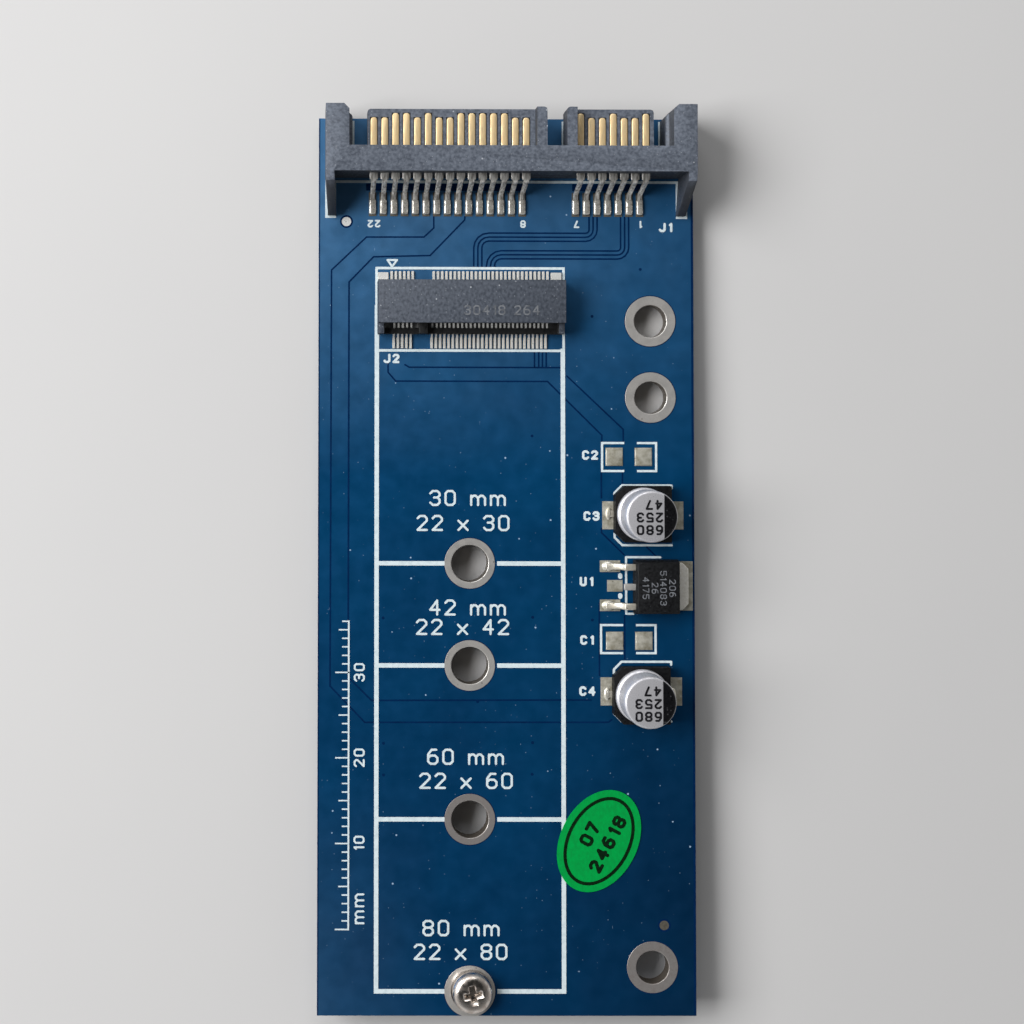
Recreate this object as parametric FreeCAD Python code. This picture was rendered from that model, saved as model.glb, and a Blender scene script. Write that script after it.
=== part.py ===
# Adapter board that carries a small storage card and presents it as a drive.
# A drive plug stands at one end, a card socket behind it, four card screw holes run
# down the middle, and a small power supply and three fixing holes run down the right.
# Millimetres: +X to the right, +Y towards the drive plug, +Z up off the parts side.
# The origin lies under the middle of the whole part, level with its lowest point.

import FreeCAD, Part
import math
import os

V = FreeCAD.Vector

# Board
board_thickness = 1.6
board_side_margin = 0.75
land_thickness = 0.05
plating_wall = 0.1
peg_clearance = 0.05

# Card screw holes, measured from the seated edge of the card
longest_card = 80.0
long_card = 60.0
short_card = 42.0
shortest_card = 30.0
card_line_from_left = 17.92
end_hole_margin = 2.83
card_hole_bore = 4.33
card_ring_diameter = 5.96

# Fixing holes down the right side
fixing_line_from_right = 5.15
fixing_hole_margin = 5.63
fixing_pitch_long = 66.84
fixing_pitch_short = 9.05
fixing_hole_bore = 3.8
fixing_ring_diameter = 6.0

# Drive plug housing, heights measured up from the board
plug_width = 43.0
plug_overhang = 0.75
plug_height = 4.9
bar_depth = 2.98
post_length = 4.85
post_width = 2.73
post_chamfer = 0.6
ledge_width = 0.43
ledge_height = 2.7
ledge_set_back = 0.6
tongue_length = 4.52
tongue_thickness = 1.23
tongue_corner = 0.35
corner_steps = 2
contact_face_height = 3.35
key_leg_width = 1.19
key_leg_height = 1.45
power_tongue_margin = 0.74
power_key_gap = 0.62
signal_tongue_margin = 0.92
signal_key_gap = 0.19
foot_width = 1.0
foot_length = 4.52
foot_shoulder = 1.1
foot_toe_height = 0.8
foot_lean = 0.33
plug_peg_diameter = 1.4
plug_peg_length = 1.2
plug_peg_from_end = 2.6

# Drive plug contacts, counted from the middle of the plug outwards
contact_pitch = 1.27
segment_pitch = 6.35
power_count = 15
signal_count = 7
power_long = (3, 4, 5, 6, 7, 10, 12, 13)
signal_long = (1, 4, 7)
finger_width = 0.86
finger_corner = 0.3
finger_proud = 0.08
finger_set_back = 0.48
short_finger_step = 0.51
contact_thickness = 0.25
contact_clearance = 0.03
head_length = 0.75
leg_width = 0.58
leg_shoulder = 0.3
leg_lean = 1.22
tail_length = 2.35
plug_land_width = 0.88
plug_land_margin = 0.25

# Card socket, heights measured up from the board
socket_behind_edge = 3.32
socket_to_plug = 7.85
shell_depth = 5.05
floor_lead = 1.2
socket_height = 2.9
floor_height = 1.05
slot_height = 0.95
slot_end_gap = 0.3
ear_width = 0.75
key_width = 1.0
socket_peg_diameter = 1.1
socket_peg_length = 1.1
socket_peg_from_end = 0.85

# Card socket contacts
socket_pitch = 0.5
socket_positions = 75
key_first = 12
key_last = 19
spring_width = 0.22
spring_thickness = 0.16
spring_dip = 0.25
spring_set_back = 0.35
spring_clearance = 0.02
upper_tail = 1.25
lower_tail = 1.66
comb_depth = 2.9

# Card socket hold-down tabs
tab_width = 1.18
tab_thickness = 0.2
tab_tail = 1.1
tab_height = 1.5
tab_from_end = 0.1
tab_to_contact = 0.31

# Power supply column, from the long fixing pitch down to the card screw
column_from_right = 6.1
gap_fixing_to_c2 = 2.94
gap_c2_to_c3 = 2.54
gap_c3_to_regulator = 1.8
gap_regulator_to_c1 = 2.2
gap_c1_to_c4 = 1.56
c4_off_column = 0.25

# Empty capacitor places
empty_land_x = 2.05
empty_land_y = 2.15
empty_land_pitch = 3.45
empty_land_shift = 1.65

# Supply capacitors
capacitor_base = 6.6
capacitor_base_height = 1.3
capacitor_base_floor = 0.6
capacitor_base_chamfer = 1.1
capacitor_diameter = 6.3
capacitor_height = 5.4
capacitor_top_bevel = 0.25
capacitor_fit = 0.02
terminal_width = 0.75
terminal_thickness = 0.15
terminal_reach = 0.55
terminal_gap = 1.9
capacitor_land_span = 9.6
capacitor_land_width = 3.3
capacitor_land_length = 3.2
c3_slip_x = -0.2
c3_slip_y = 0.2
c4_slip_x = -0.17
c4_slip_y = -0.31

# Voltage regulator, its tab towards the right edge of the board
regulator_body_x = 5.3
regulator_body_y = 6.4
regulator_body_height = 2.3
regulator_body_draft = 0.22
regulator_parting = 0.85
regulator_from_right = 2.13
regulator_lead_pitch = 2.3
regulator_lead_width = 0.76
regulator_lead_thickness = 0.5
regulator_lead_reach = 3.18
regulator_lead_rise = 0.95
regulator_lead_root = 0.5
regulator_lead_shoulder = 0.95
regulator_stub_reach = 1.2
tab_plate_thickness = 0.5
tab_plate_reach = 1.28
tab_plate_width = 5.5
tab_plate_chamfer = 0.7
tab_plate_cover = 4.2
tab_land_margin = 0.62
tab_land_side = 0.15
lead_land_length = 2.4
lead_land_width = 1.36
lead_land_margin = 0.6
middle_land_length = 1.83
middle_land_set_in = 0.86

# Card screw, its nut and the paper seal
screw_diameter = 2.5
screw_head_diameter = 4.7
screw_head_height = 1.9
screw_head_side = 0.6
screw_head_flat = 2.7
crown_steps = 2
screw_side_gap = 0.63
screw_rest_angle = 44.0
screw_tip = 0.4
recess_length = 3.3
recess_width = 0.85
recess_depth = 1.1
recess_turn = 10.0
nut_sides = 6
nut_across_flats = 5.0
nut_thickness = 2.0
nut_chamfer = 0.25
seal_long = 12.6
seal_short = 9.0
seal_thickness = 0.1
seal_turn = 62.0
seal_from_right = 11.4
seal_from_end = 20.34

# Places that follow from the sizes above
board_width = plug_width + 2 * board_side_margin
card_lengths = (shortest_card, short_card, long_card, longest_card)
card_edge_from_end = end_hole_margin + longest_card
plug_depth = foot_length + bar_depth + post_length
board_length = (card_edge_from_end + socket_behind_edge + socket_to_plug
                + plug_depth - plug_overhang)
whole_length = board_length + plug_overhang

board_left = -board_width / 2
board_right = board_width / 2
board_end = -whole_length / 2
board_top_edge = board_end + board_length
board_bottom = screw_tip + nut_thickness
board_top = board_bottom + board_thickness
land_top = board_top + land_thickness

card_x = board_left + card_line_from_left
card_edge = board_end + card_edge_from_end
fixing_x = board_right - fixing_line_from_right
column_x = board_right - column_from_right

contact_span = (socket_positions - 1) * socket_pitch / 2 + spring_width
socket_width = contact_span + 2 * (tab_to_contact + tab_width + tab_from_end)
socket_back = card_edge + socket_behind_edge
shell_front = socket_back - shell_depth
floor_front = shell_front - floor_lead

plug_back = socket_back + socket_to_plug
bar_back = plug_back + foot_length
bar_front = bar_back + bar_depth
post_front = bar_front + post_length
tongue_front = bar_front + tongue_length
contact_face = board_top + contact_face_height
finger_top = contact_face + finger_proud
finger_bottom = finger_top - contact_thickness


def box(x0, x1, y0, y1, z0, z1):
    """Upright box between two corners."""
    return Part.makeBox(x1 - x0, y1 - y0, z1 - z0, V(x0, y0, z0))


def cylinder(x, y, radius, z0, z1):
    """Upright cylinder."""
    return Part.makeCylinder(radius, z1 - z0, V(x, y, z0))


def plan(points, z0, z1):
    """Solid with the given outline seen from above."""
    outline = [V(x, y, z0) for x, y in points]
    face = Part.Face(Part.makePolygon(outline + outline[:1]))
    return face.extrude(V(0, 0, z1 - z0))


def side(points, x0, x1):
    """Solid with the given (y, z) outline seen from the right."""
    outline = [V(x0, y, z) for y, z in points]
    face = Part.Face(Part.makePolygon(outline + outline[:1]))
    return face.extrude(V(x1 - x0, 0, 0))


def turned(points, x, y):
    """Solid of revolution about an upright axis from (radius, height) points."""
    outline = [V(x + radius, y, z) for radius, z in points]
    face = Part.Face(Part.makePolygon(outline + outline[:1]))
    return face.revolve(V(x, y, 0), V(0, 0, 1), 360)


def joined(shapes):
    """One solid from pieces that meet, without the seams between them."""
    return shapes[0].multiFuse(shapes[1:]).removeSplitter()


def offset_path(path, offset):
    """Points of a bent path moved sideways by a signed offset, its corners kept sharp."""
    steps = []
    for start, end in zip(path, path[1:]):
        length = math.hypot(end[0] - start[0], end[1] - start[1])
        steps.append(((end[0] - start[0]) / length, (end[1] - start[1]) / length))
    moved = []
    for point, before, after in zip(path, steps[:1] + steps, steps + steps[-1:]):
        reach = offset / (1 + before[0] * after[0] + before[1] * after[1])
        moved.append((point[0] - (before[1] + after[1]) * reach,
                      point[1] + (before[0] + after[0]) * reach))
    return moved


def strip(path, thickness, width, middle, across):
    """Formed metal strip along a path of (along, height) points.

    The strip is as wide as given about its middle, across X or across Y.
    """
    outline = offset_path(path, thickness / 2) + offset_path(path, -thickness / 2)[::-1]
    if across == "x":
        return side(outline, middle - width / 2, middle + width / 2)
    corners = [V(along, middle - width / 2, height) for along, height in outline]
    return Part.Face(Part.makePolygon(corners + corners[:1])).extrude(V(0, width, 0))


def rounded_end(x, y0, y1, width, corner):
    """Outline of a bar along Y whose far corners are rounded in a few straight steps."""
    points = [(x - width / 2, y0)]
    for mirror in (-1, 1):
        for step in range(corner_steps + 1)[::-mirror]:
            angle = math.radians(90 * step / corner_steps)
            points.append((x + mirror * (width / 2 - corner + corner * math.cos(angle)),
                           y1 - corner + corner * math.sin(angle)))
    points.append((x + width / 2, y0))
    return points


def card_hole_places():
    """Centres of the card screw holes, nearest the socket first."""
    return [(card_x, card_edge - length) for length in card_lengths]


def fixing_hole_places():
    """Centres of the fixing holes, from the plug end down."""
    last = board_end + fixing_hole_margin
    middle = last + fixing_pitch_long
    return [(fixing_x, middle + fixing_pitch_short), (fixing_x, middle), (fixing_x, last)]


def plug_peg_places():
    """Centres of the plug's two pegs, under the ends of its cross-bar."""
    reach = plug_width / 2 - plug_peg_from_end
    middle = (bar_back + bar_front) / 2
    return [(-reach, middle), (reach, middle)]


def socket_peg_places():
    """Centres of the socket's two pegs, under its ends."""
    reach = socket_width / 2 - socket_peg_from_end
    middle = (shell_front + socket_back) / 2
    return [(card_x - reach, middle), (card_x + reach, middle)]


def circuit_board():
    """Board, bored for the sleeves and the pegs."""
    board = box(board_left, board_right, board_end, board_top_edge, board_bottom, board_top)
    bores = []
    sets = ((card_hole_places(), card_hole_bore / 2 + plating_wall),
            (fixing_hole_places(), fixing_hole_bore / 2 + plating_wall),
            (plug_peg_places(), plug_peg_diameter / 2 + peg_clearance),
            (socket_peg_places(), socket_peg_diameter / 2 + peg_clearance))
    for places, radius in sets:
        for x, y in places:
            bores.append(cylinder(x, y, radius, board_bottom, board_top))
    return board.cut(Part.Compound(bores))


def hole_sleeve(place, bore, ring):
    """Plated barrel with a flat ring on the parts side, trimmed where it meets the board's end."""
    inner = bore / 2
    barrel = inner + plating_wall
    outer = ring / 2
    sleeve = turned([(inner, board_bottom), (barrel, board_bottom), (barrel, board_top),
                     (outer, board_top), (outer, land_top), (inner, land_top)], *place)
    if place[1] - outer >= board_end:
        return sleeve
    return sleeve.cut(box(board_left, board_right, board_end - ring, board_end, board_bottom, land_top))


def plug_contact_places():
    """Name, centre line and reach of each plug contact, from left to right."""
    power_span = (power_count - 1) * contact_pitch
    signal_span = (signal_count - 1) * contact_pitch
    first = -(power_span + segment_pitch + signal_span) / 2
    places = []
    for step in range(power_count):
        number = power_count - step
        places.append((f"power_contact_{number:02d}", first + step * contact_pitch,
                       number in power_long))
    first_signal = first + power_span + segment_pitch
    for step in range(signal_count):
        number = signal_count - step
        places.append((f"signal_contact_{number}", first_signal + step * contact_pitch,
                       number in signal_long))
    return places


def finger_tip(is_long):
    """Front end of a contact finger on the tongue."""
    tip = tongue_front - finger_set_back
    return tip if is_long else tip - short_finger_step


def plug_contact(x, is_long):
    """Finger on the tongue, head behind the bar, and a leg that bends down to its land."""
    knee = bar_back - head_length
    outline = rounded_end(x, knee, finger_tip(is_long), finger_width, finger_corner)
    finger = plan(outline, finger_bottom, finger_top)
    middle = finger_top - contact_thickness / 2
    tail = land_top + contact_thickness / 2
    ankle = knee - leg_lean
    path = [(bar_back, middle), (knee, middle), (knee - leg_shoulder, middle - leg_shoulder),
            (ankle, tail), (ankle - tail_length, tail)]
    leg = strip(path, contact_thickness, leg_width, x, "x")
    return joined([finger, leg])


def plug_lands():
    """Solder lands under the tails of the plug's contacts."""
    start = bar_back - head_length - leg_lean
    lands = []
    for _, x, _ in plug_contact_places():
        lands.append(box(x - plug_land_width / 2, x + plug_land_width / 2,
                         start - tail_length - plug_land_margin, start + plug_land_margin,
                         board_top, land_top))
    return Part.Compound(lands)


def tongue(x0, x1, leg_x0):
    """Keyed tongue: a flat blade with an upright leg along one of its sides."""
    outline = rounded_end((x0 + x1) / 2, bar_front, tongue_front, x1 - x0, tongue_corner)
    leg_top = contact_face + key_leg_height
    blade = plan(outline, contact_face - tongue_thickness, contact_face)
    leg = plan(outline, contact_face, leg_top)
    leg = leg.common(box(leg_x0, leg_x0 + key_leg_width, bar_front, tongue_front, contact_face, leg_top))
    return [blade, leg]


def guide_post(mirror):
    """Guide post with a chamfered inner corner and a low ledge along its inner side."""
    outer = mirror * plug_width / 2
    inner = outer - mirror * post_width
    post = plan([(outer, bar_front), (outer, post_front), (inner + mirror * post_chamfer, post_front),
                 (inner, post_front - post_chamfer), (inner, bar_front)],
                board_top, board_top + plug_height)
    edge = inner - mirror * ledge_width
    ledge_front = post_front - ledge_set_back
    ledge = plan([(inner, bar_front), (inner, ledge_front),
                  (edge, ledge_front - ledge_width), (edge, bar_front)],
                 board_top, board_top + ledge_height)
    return [post, ledge]


def plug_foot(mirror):
    """Foot behind the bar, sloping from the bar's top down to a low toe that leans inwards."""
    outer = mirror * plug_width / 2
    inner = outer - mirror * foot_width
    lean = mirror * foot_lean
    top = board_top + plug_height
    outline = [(bar_back, board_top), (plug_back, board_top),
               (plug_back, board_top + foot_toe_height), (bar_back - foot_shoulder, top),
               (bar_back, top)]
    footprint = plan([(outer, bar_back), (outer - lean, plug_back), (inner - lean, plug_back),
                      (inner, bar_back)], board_top, top)
    return footprint.common(side(outline, -plug_width / 2, plug_width / 2))


def drive_plug_housing():
    """Moulded plug body with a groove for every contact."""
    places = plug_contact_places()
    half = plug_width / 2
    power = [x for name, x, _ in places if name.startswith("power")]
    signal = [x for name, x, _ in places if name.startswith("signal")]
    half_finger = finger_width / 2
    power_leg = power[-1] + half_finger + power_key_gap
    signal_leg = signal[0] - half_finger - signal_key_gap - key_leg_width
    pieces = [box(-half, half, bar_back, bar_front, board_top, board_top + plug_height)]
    pieces += tongue(power[0] - power_tongue_margin, power_leg + key_leg_width, power_leg)
    pieces += tongue(signal_leg, signal[-1] + signal_tongue_margin, signal_leg)
    for mirror in (-1, 1):
        pieces += guide_post(mirror)
        pieces.append(plug_foot(mirror))
    for x, y in plug_peg_places():
        pieces.append(cylinder(x, y, plug_peg_diameter / 2, board_top - plug_peg_length, board_top))
    grooves = []
    for _, x, is_long in places:
        reach = half_finger + contact_clearance
        grooves.append(box(x - reach, x + reach, bar_back, finger_tip(is_long) + contact_clearance,
                           finger_bottom, finger_top + contact_clearance))
    return joined(pieces).cut(Part.Compound(grooves))


def socket_contact_lines():
    """Centre lines of the upper and lower contact rows, without the key's gap."""
    first = card_x - (socket_positions - 1) * socket_pitch / 4
    upper = []
    lower = []
    for number in range(1, socket_positions + 1):
        if key_first <= number <= key_last:
            continue
        row = upper if number % 2 else lower
        row.append(first + (number - 1) * socket_pitch / 2)
    return upper, lower


def spring_tail_height():
    """Middle height of a contact's tail on its land."""
    return land_top + spring_thickness / 2


def upper_spring_height():
    """Middle height of an upper contact where it lies in the shell's roof."""
    return board_top + floor_height + slot_height + spring_thickness / 2


def upper_spring(x):
    """Contact of the upper row: tail behind, riser, and a beam that dips into the slot."""
    tail = spring_tail_height()
    roof = upper_spring_height()
    riser = socket_back - spring_set_back
    path = [(socket_back + upper_tail, tail), (riser, tail), (riser, roof),
            (shell_front + spring_set_back, roof - spring_dip)]
    return strip(path, spring_thickness, spring_width, x, "x")


def lower_spring(x):
    """Contact of the lower row: tail in front, riser, and a beam that climbs into the slot."""
    tail = spring_tail_height()
    floor = board_top + floor_height
    riser = floor_front + spring_set_back
    tip = floor_front + comb_depth - spring_set_back
    path = [(floor_front - lower_tail, tail), (riser, tail), (riser, floor - spring_dip),
            (tip, floor + spring_dip)]
    return strip(path, spring_thickness, spring_width, x, "x")


def key_line():
    """Middle of the rib that keys the card."""
    return card_x + ((key_first + key_last) / 2 - (socket_positions + 1) / 2) * socket_pitch / 2


def spring_channels():
    """Cuts in the socket that the contacts of both rows stand in."""
    upper, lower = socket_contact_lines()
    half = spring_width / 2 + spring_clearance
    wall = spring_thickness / 2 + spring_clearance
    roof = upper_spring_height() + wall
    riser = socket_back - spring_set_back - wall
    channels = []
    before_key = [x for x in upper if x < key_line()]
    after_key = [x for x in upper if x > key_line()]
    for group in (before_key, after_key):
        left = group[0] - half
        right = group[-1] + half
        channels.append(box(left, right, riser, socket_back, board_top, roof))
        channels.append(box(left, right, shell_front, riser, roof - 2 * wall - spring_dip, roof))
    for x in lower:
        channels.append(box(x - half, x + half, floor_front, floor_front + comb_depth,
                            board_top, board_top + floor_height))
    return channels


def hold_down_places():
    """Middles of the socket's two hold-down tabs."""
    reach = socket_width / 2 - tab_from_end - tab_width / 2
    return [card_x - reach, card_x + reach]


def hold_down(x):
    """Angled tab: a foot on its land and an upright leg in the socket's end."""
    tail = land_top + tab_thickness / 2
    riser = socket_back - spring_set_back
    path = [(socket_back + tab_tail, tail), (riser, tail), (riser, board_top + tab_height)]
    return strip(path, tab_thickness, tab_width, x, "x")


def card_socket_housing():
    """Socket body: a shell over the card slot, a floor that leads into it, and two ears."""
    left = card_x - socket_width / 2
    right = card_x + socket_width / 2
    floor = board_top + floor_height
    top = board_top + socket_height
    body = joined([box(left, right, floor_front, socket_back, board_top, floor),
                   box(left, right, shell_front, socket_back, floor, top)])
    for x in (left, right - ear_width):
        body = body.fuse(box(x, x + ear_width, floor_front, shell_front, floor, floor + slot_height))
    slot = box(left + ear_width, right - ear_width, floor_front, card_edge + slot_end_gap,
               floor, floor + slot_height)
    key = box(key_line() - key_width / 2, key_line() + key_width / 2, floor_front,
              card_edge + slot_end_gap, floor, floor + slot_height)
    body = body.cut(slot).fuse(key).removeSplitter()
    for x, y in socket_peg_places():
        body = body.fuse(cylinder(x, y, socket_peg_diameter / 2,
                                  board_top - socket_peg_length, board_top))
    cuts = spring_channels()
    wall = tab_thickness / 2 + spring_clearance
    half = tab_width / 2 + spring_clearance
    for x in hold_down_places():
        cuts.append(box(x - half, x + half, socket_back - spring_set_back - wall, socket_back,
                        board_top, board_top + tab_height + spring_clearance))
    return body.cut(Part.Compound(cuts))


def column_places():
    """Middle of each place in the power supply column, stacked below the fixing hole."""
    half_c = empty_land_y / 2
    half_base = capacitor_base / 2
    half_regulator = regulator_body_y / 2
    y_c2 = fixing_hole_places()[1][1] - fixing_ring_diameter / 2 - gap_fixing_to_c2 - half_c
    y_c3 = y_c2 - half_c - gap_c2_to_c3 - half_base
    y_regulator = y_c3 - half_base - gap_c3_to_regulator - half_regulator
    y_c1 = y_regulator - half_regulator - gap_regulator_to_c1 - half_c
    y_c4 = y_c1 - half_c - gap_c1_to_c4 - half_base
    empty_x = column_x - empty_land_shift
    return {"c1": (empty_x, y_c1), "c2": (empty_x, y_c2), "c3": (column_x, y_c3),
            "c4": (column_x - c4_off_column, y_c4), "regulator": (column_x, y_regulator)}


def empty_lands(x, y):
    """Two bare lands of a capacitor place that is left empty."""
    lands = []
    for step in (-0.5, 0.5):
        middle = x + step * empty_land_pitch
        lands.append(box(middle - empty_land_x / 2, middle + empty_land_x / 2,
                         y - empty_land_y / 2, y + empty_land_y / 2, board_top, land_top))
    return Part.Compound(lands)


def capacitor_lands(x, y):
    """Two long lands under a supply capacitor."""
    lands = []
    for mirror in (-1, 1):
        outer = x + mirror * capacitor_land_span / 2
        inner = outer - mirror * capacitor_land_length
        lands.append(box(min(inner, outer), max(inner, outer), y - capacitor_land_width / 2,
                         y + capacitor_land_width / 2, board_top, land_top))
    return Part.Compound(lands)


def capacitor_terminal(x, y, mirror):
    """Flat terminal that lies on its land and reaches out from under the base."""
    inner = x + mirror * terminal_gap / 2
    outer = x + mirror * (capacitor_base / 2 + terminal_reach)
    return box(min(inner, outer), max(inner, outer), y - terminal_width / 2,
               y + terminal_width / 2, land_top, land_top + terminal_thickness)


def capacitor_base_block(x, y):
    """Square base with two cut corners, a round seat for the can and grooves underneath."""
    half = capacitor_base / 2
    cut = half - capacitor_base_chamfer
    outline = [(-half, -cut), (-cut, -half), (half, -half), (half, half), (-cut, half), (-half, cut)]
    top = land_top + capacitor_base_height
    block = plan([(x + dx, y + dy) for dx, dy in outline], land_top, top)
    seat = cylinder(x, y, capacitor_diameter / 2 + capacitor_fit,
                    land_top + capacitor_base_floor, top)
    grooves = [capacitor_terminal(x, y, mirror) for mirror in (-1, 1)]
    return block.cut(Part.Compound([seat] + grooves))


def capacitor_can(x, y):
    """Drawn can with a bevelled top edge."""
    radius = capacitor_diameter / 2
    low = land_top + capacitor_base_floor
    top = land_top + capacitor_height
    return turned([(0, low), (radius, low), (radius, top - capacitor_top_bevel),
                   (radius - capacitor_top_bevel, top), (0, top)], x, y)


def regulator_right():
    """Right side of the regulator's body."""
    return board_right - regulator_from_right


def tab_plate(y):
    """Heat tab on its land, with the trimmed stub of the middle lead on its other side."""
    body_right = regulator_right()
    right = body_right + tab_plate_reach
    left = body_right - tab_plate_cover
    half = tab_plate_width / 2
    cut = tab_plate_chamfer
    high = land_top + tab_plate_thickness
    plate = plan([(left, y - half), (right - cut, y - half), (right, y - half + cut),
                  (right, y + half - cut), (right - cut, y + half), (left, y + half)],
                 land_top, high)
    body_left = body_right - regulator_body_x
    shoulder = left + regulator_lead_root
    rise = land_top + regulator_lead_rise
    stub = box(body_left - regulator_stub_reach, shoulder, y - regulator_lead_width / 2,
               y + regulator_lead_width / 2, rise, rise + regulator_lead_thickness)
    post = box(left, shoulder, y - regulator_lead_width / 2, y + regulator_lead_width / 2,
               high, rise)
    return joined([plate, post, stub])


def regulator_lead(y):
    """Outer lead: out of the body, down, and out along its land."""
    body_left = regulator_right() - regulator_body_x
    high = land_top + regulator_lead_rise + regulator_lead_thickness / 2
    low = land_top + regulator_lead_thickness / 2
    knee = body_left - regulator_lead_shoulder
    path = [(body_left + regulator_lead_root, high), (knee, high),
            (knee - regulator_lead_thickness, low), (body_left - regulator_lead_reach, low)]
    return strip(path, regulator_lead_thickness, regulator_lead_width, y, "y")


def regulator_body(y, inserts):
    """Moulded body that narrows above and below its parting line, closed round its metal."""
    right = regulator_right()
    left = right - regulator_body_x
    half = regulator_body_y / 2
    low = land_top
    parting = land_top + regulator_parting
    high = land_top + regulator_body_height

    def ring(inset, z):
        corners = [V(left + inset, y - half + inset, z), V(right - inset, y - half + inset, z),
                   V(right - inset, y + half - inset, z), V(left + inset, y + half - inset, z)]
        return Part.makePolygon(corners + corners[:1])

    draft = regulator_body_draft
    lower = Part.makeLoft([ring(draft / 2, low), ring(0, parting)], True, True)
    upper = Part.makeLoft([ring(0, parting), ring(draft, high)], True, True)
    return joined([lower, upper]).cut(Part.Compound(inserts))


def regulator_lands(y):
    """Land under the tab and one under each of the three lead places."""
    body_right = regulator_right()
    body_left = body_right - regulator_body_x
    half = tab_plate_width / 2 + tab_land_side
    lands = [box(body_right - tab_plate_cover, body_right + tab_plate_reach + tab_land_margin,
                 y - half, y + half, board_top, land_top)]
    left = body_left - regulator_lead_reach - lead_land_margin
    rows = ((-1, left, lead_land_length), (1, left, lead_land_length),
            (0, left + middle_land_set_in, middle_land_length))
    for step, start, length in rows:
        middle = y + step * regulator_lead_pitch
        lands.append(box(start, start + length, middle - lead_land_width / 2,
                         middle + lead_land_width / 2, board_top, land_top))
    return Part.Compound(lands)


def screw_place():
    """Centre of the card screw, which leans to one side of the last card hole."""
    x, y = card_hole_places()[-1]
    lean = max(0, (card_hole_bore - screw_diameter) / 2 - screw_side_gap)
    angle = math.radians(screw_rest_angle)
    return x + lean * math.cos(angle), y + lean * math.sin(angle)


def card_screw():
    """Pan-headed screw with a cross recess, its shank down through the nut."""
    x, y = screw_place()
    head = screw_head_diameter / 2
    shank = screw_diameter / 2
    base = land_top
    top = base + screw_head_height
    shoulder = base + screw_head_side
    profile = [(0, 0), (shank, 0), (shank, base), (head, base)]
    flat = screw_head_flat / 2
    for step in range(crown_steps + 1):
        angle = math.radians(90 * step / crown_steps)
        profile.append((flat + (head - flat) * math.cos(angle),
                        shoulder + (top - shoulder) * math.sin(angle)))
    screw = turned(profile + [(0, top)], x, y)
    long_half = recess_length / 2
    thin_half = recess_width / 2
    floor = top - recess_depth
    cross = joined([box(x - long_half, x + long_half, y - thin_half, y + thin_half, floor, top),
                    box(x - thin_half, x + thin_half, y - long_half, y + long_half, floor, top)])
    cross.rotate(V(x, y, 0), V(0, 0, 1), recess_turn)
    return screw.cut(cross)


def card_screw_nut():
    """Six-sided nut under the board with its outward corners turned off."""
    x, y = screw_place()
    high = board_bottom
    low = high - nut_thickness
    corner = nut_across_flats / 2 / math.cos(math.pi / nut_sides)
    turns = [2 * math.pi * step / nut_sides for step in range(nut_sides)]
    outline = [(x + corner * math.cos(turn), y + corner * math.sin(turn)) for turn in turns]
    turned_block = turned([(0, low), (corner - nut_chamfer, low), (corner, low + nut_chamfer),
                           (corner, high), (0, high)], x, y)
    nut = plan(outline, low, high).common(turned_block)
    return nut.cut(cylinder(x, y, screw_diameter / 2, low, high))


def paper_seal():
    """Thin oval seal stuck flat on the board."""
    centre = V(board_right - seal_from_right, board_end + seal_from_end, board_top)
    oval = Part.Ellipse(V(0, 0, 0), seal_long / 2, seal_short / 2).toShape()
    seal = Part.Face(Part.Wire([oval])).extrude(V(0, 0, seal_thickness))
    seal.rotate(V(0, 0, 0), V(0, 0, 1), seal_turn)
    seal.translate(centre)
    return seal


def build_nodes():
    """Every piece of the adapter by the name of its node."""
    nodes = {"circuit_board": circuit_board()}
    for number, place in enumerate(card_hole_places(), 1):
        nodes[f"card_hole_sleeve_{number}"] = hole_sleeve(place, card_hole_bore, card_ring_diameter)
    for number, place in enumerate(fixing_hole_places(), 1):
        nodes[f"fixing_hole_sleeve_{number}"] = hole_sleeve(place, fixing_hole_bore,
                                                            fixing_ring_diameter)

    nodes["drive_plug_housing"] = drive_plug_housing()
    nodes["drive_plug_lands"] = plug_lands()
    for name, x, is_long in plug_contact_places():
        nodes[name] = plug_contact(x, is_long)

    upper, lower = socket_contact_lines()
    nodes["card_socket_housing"] = card_socket_housing()
    nodes["card_socket_upper_contacts"] = Part.Compound([upper_spring(x) for x in upper])
    nodes["card_socket_lower_contacts"] = Part.Compound([lower_spring(x) for x in lower])
    for name, x in zip(("left", "right"), hold_down_places()):
        nodes[f"card_socket_hold_down_{name}"] = hold_down(x)

    places = column_places()
    for name in ("c1", "c2"):
        nodes[f"capacitor_{name}_lands"] = empty_lands(*places[name])
    for name, slip_x, slip_y in (("c3", c3_slip_x, c3_slip_y), ("c4", c4_slip_x, c4_slip_y)):
        x, y = places[name]
        nodes[f"capacitor_{name}_lands"] = capacitor_lands(x, y)
        x += slip_x
        y += slip_y
        nodes[f"capacitor_{name}_base"] = capacitor_base_block(x, y)
        nodes[f"capacitor_{name}_can"] = capacitor_can(x, y)
        nodes[f"capacitor_{name}_terminal_left"] = capacitor_terminal(x, y, -1)
        nodes[f"capacitor_{name}_terminal_right"] = capacitor_terminal(x, y, 1)

    y = places["regulator"][1]
    tab = tab_plate(y)
    leads = [regulator_lead(y - regulator_lead_pitch), regulator_lead(y + regulator_lead_pitch)]
    nodes["regulator_lands"] = regulator_lands(y)
    nodes["regulator_tab"] = tab
    nodes["regulator_lead_lower"] = leads[0]
    nodes["regulator_lead_upper"] = leads[1]
    nodes["regulator_body"] = regulator_body(y, [tab] + leads)

    nodes["card_screw"] = card_screw()
    nodes["card_screw_nut"] = card_screw_nut()
    nodes["paper_seal"] = paper_seal()
    return nodes


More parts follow.
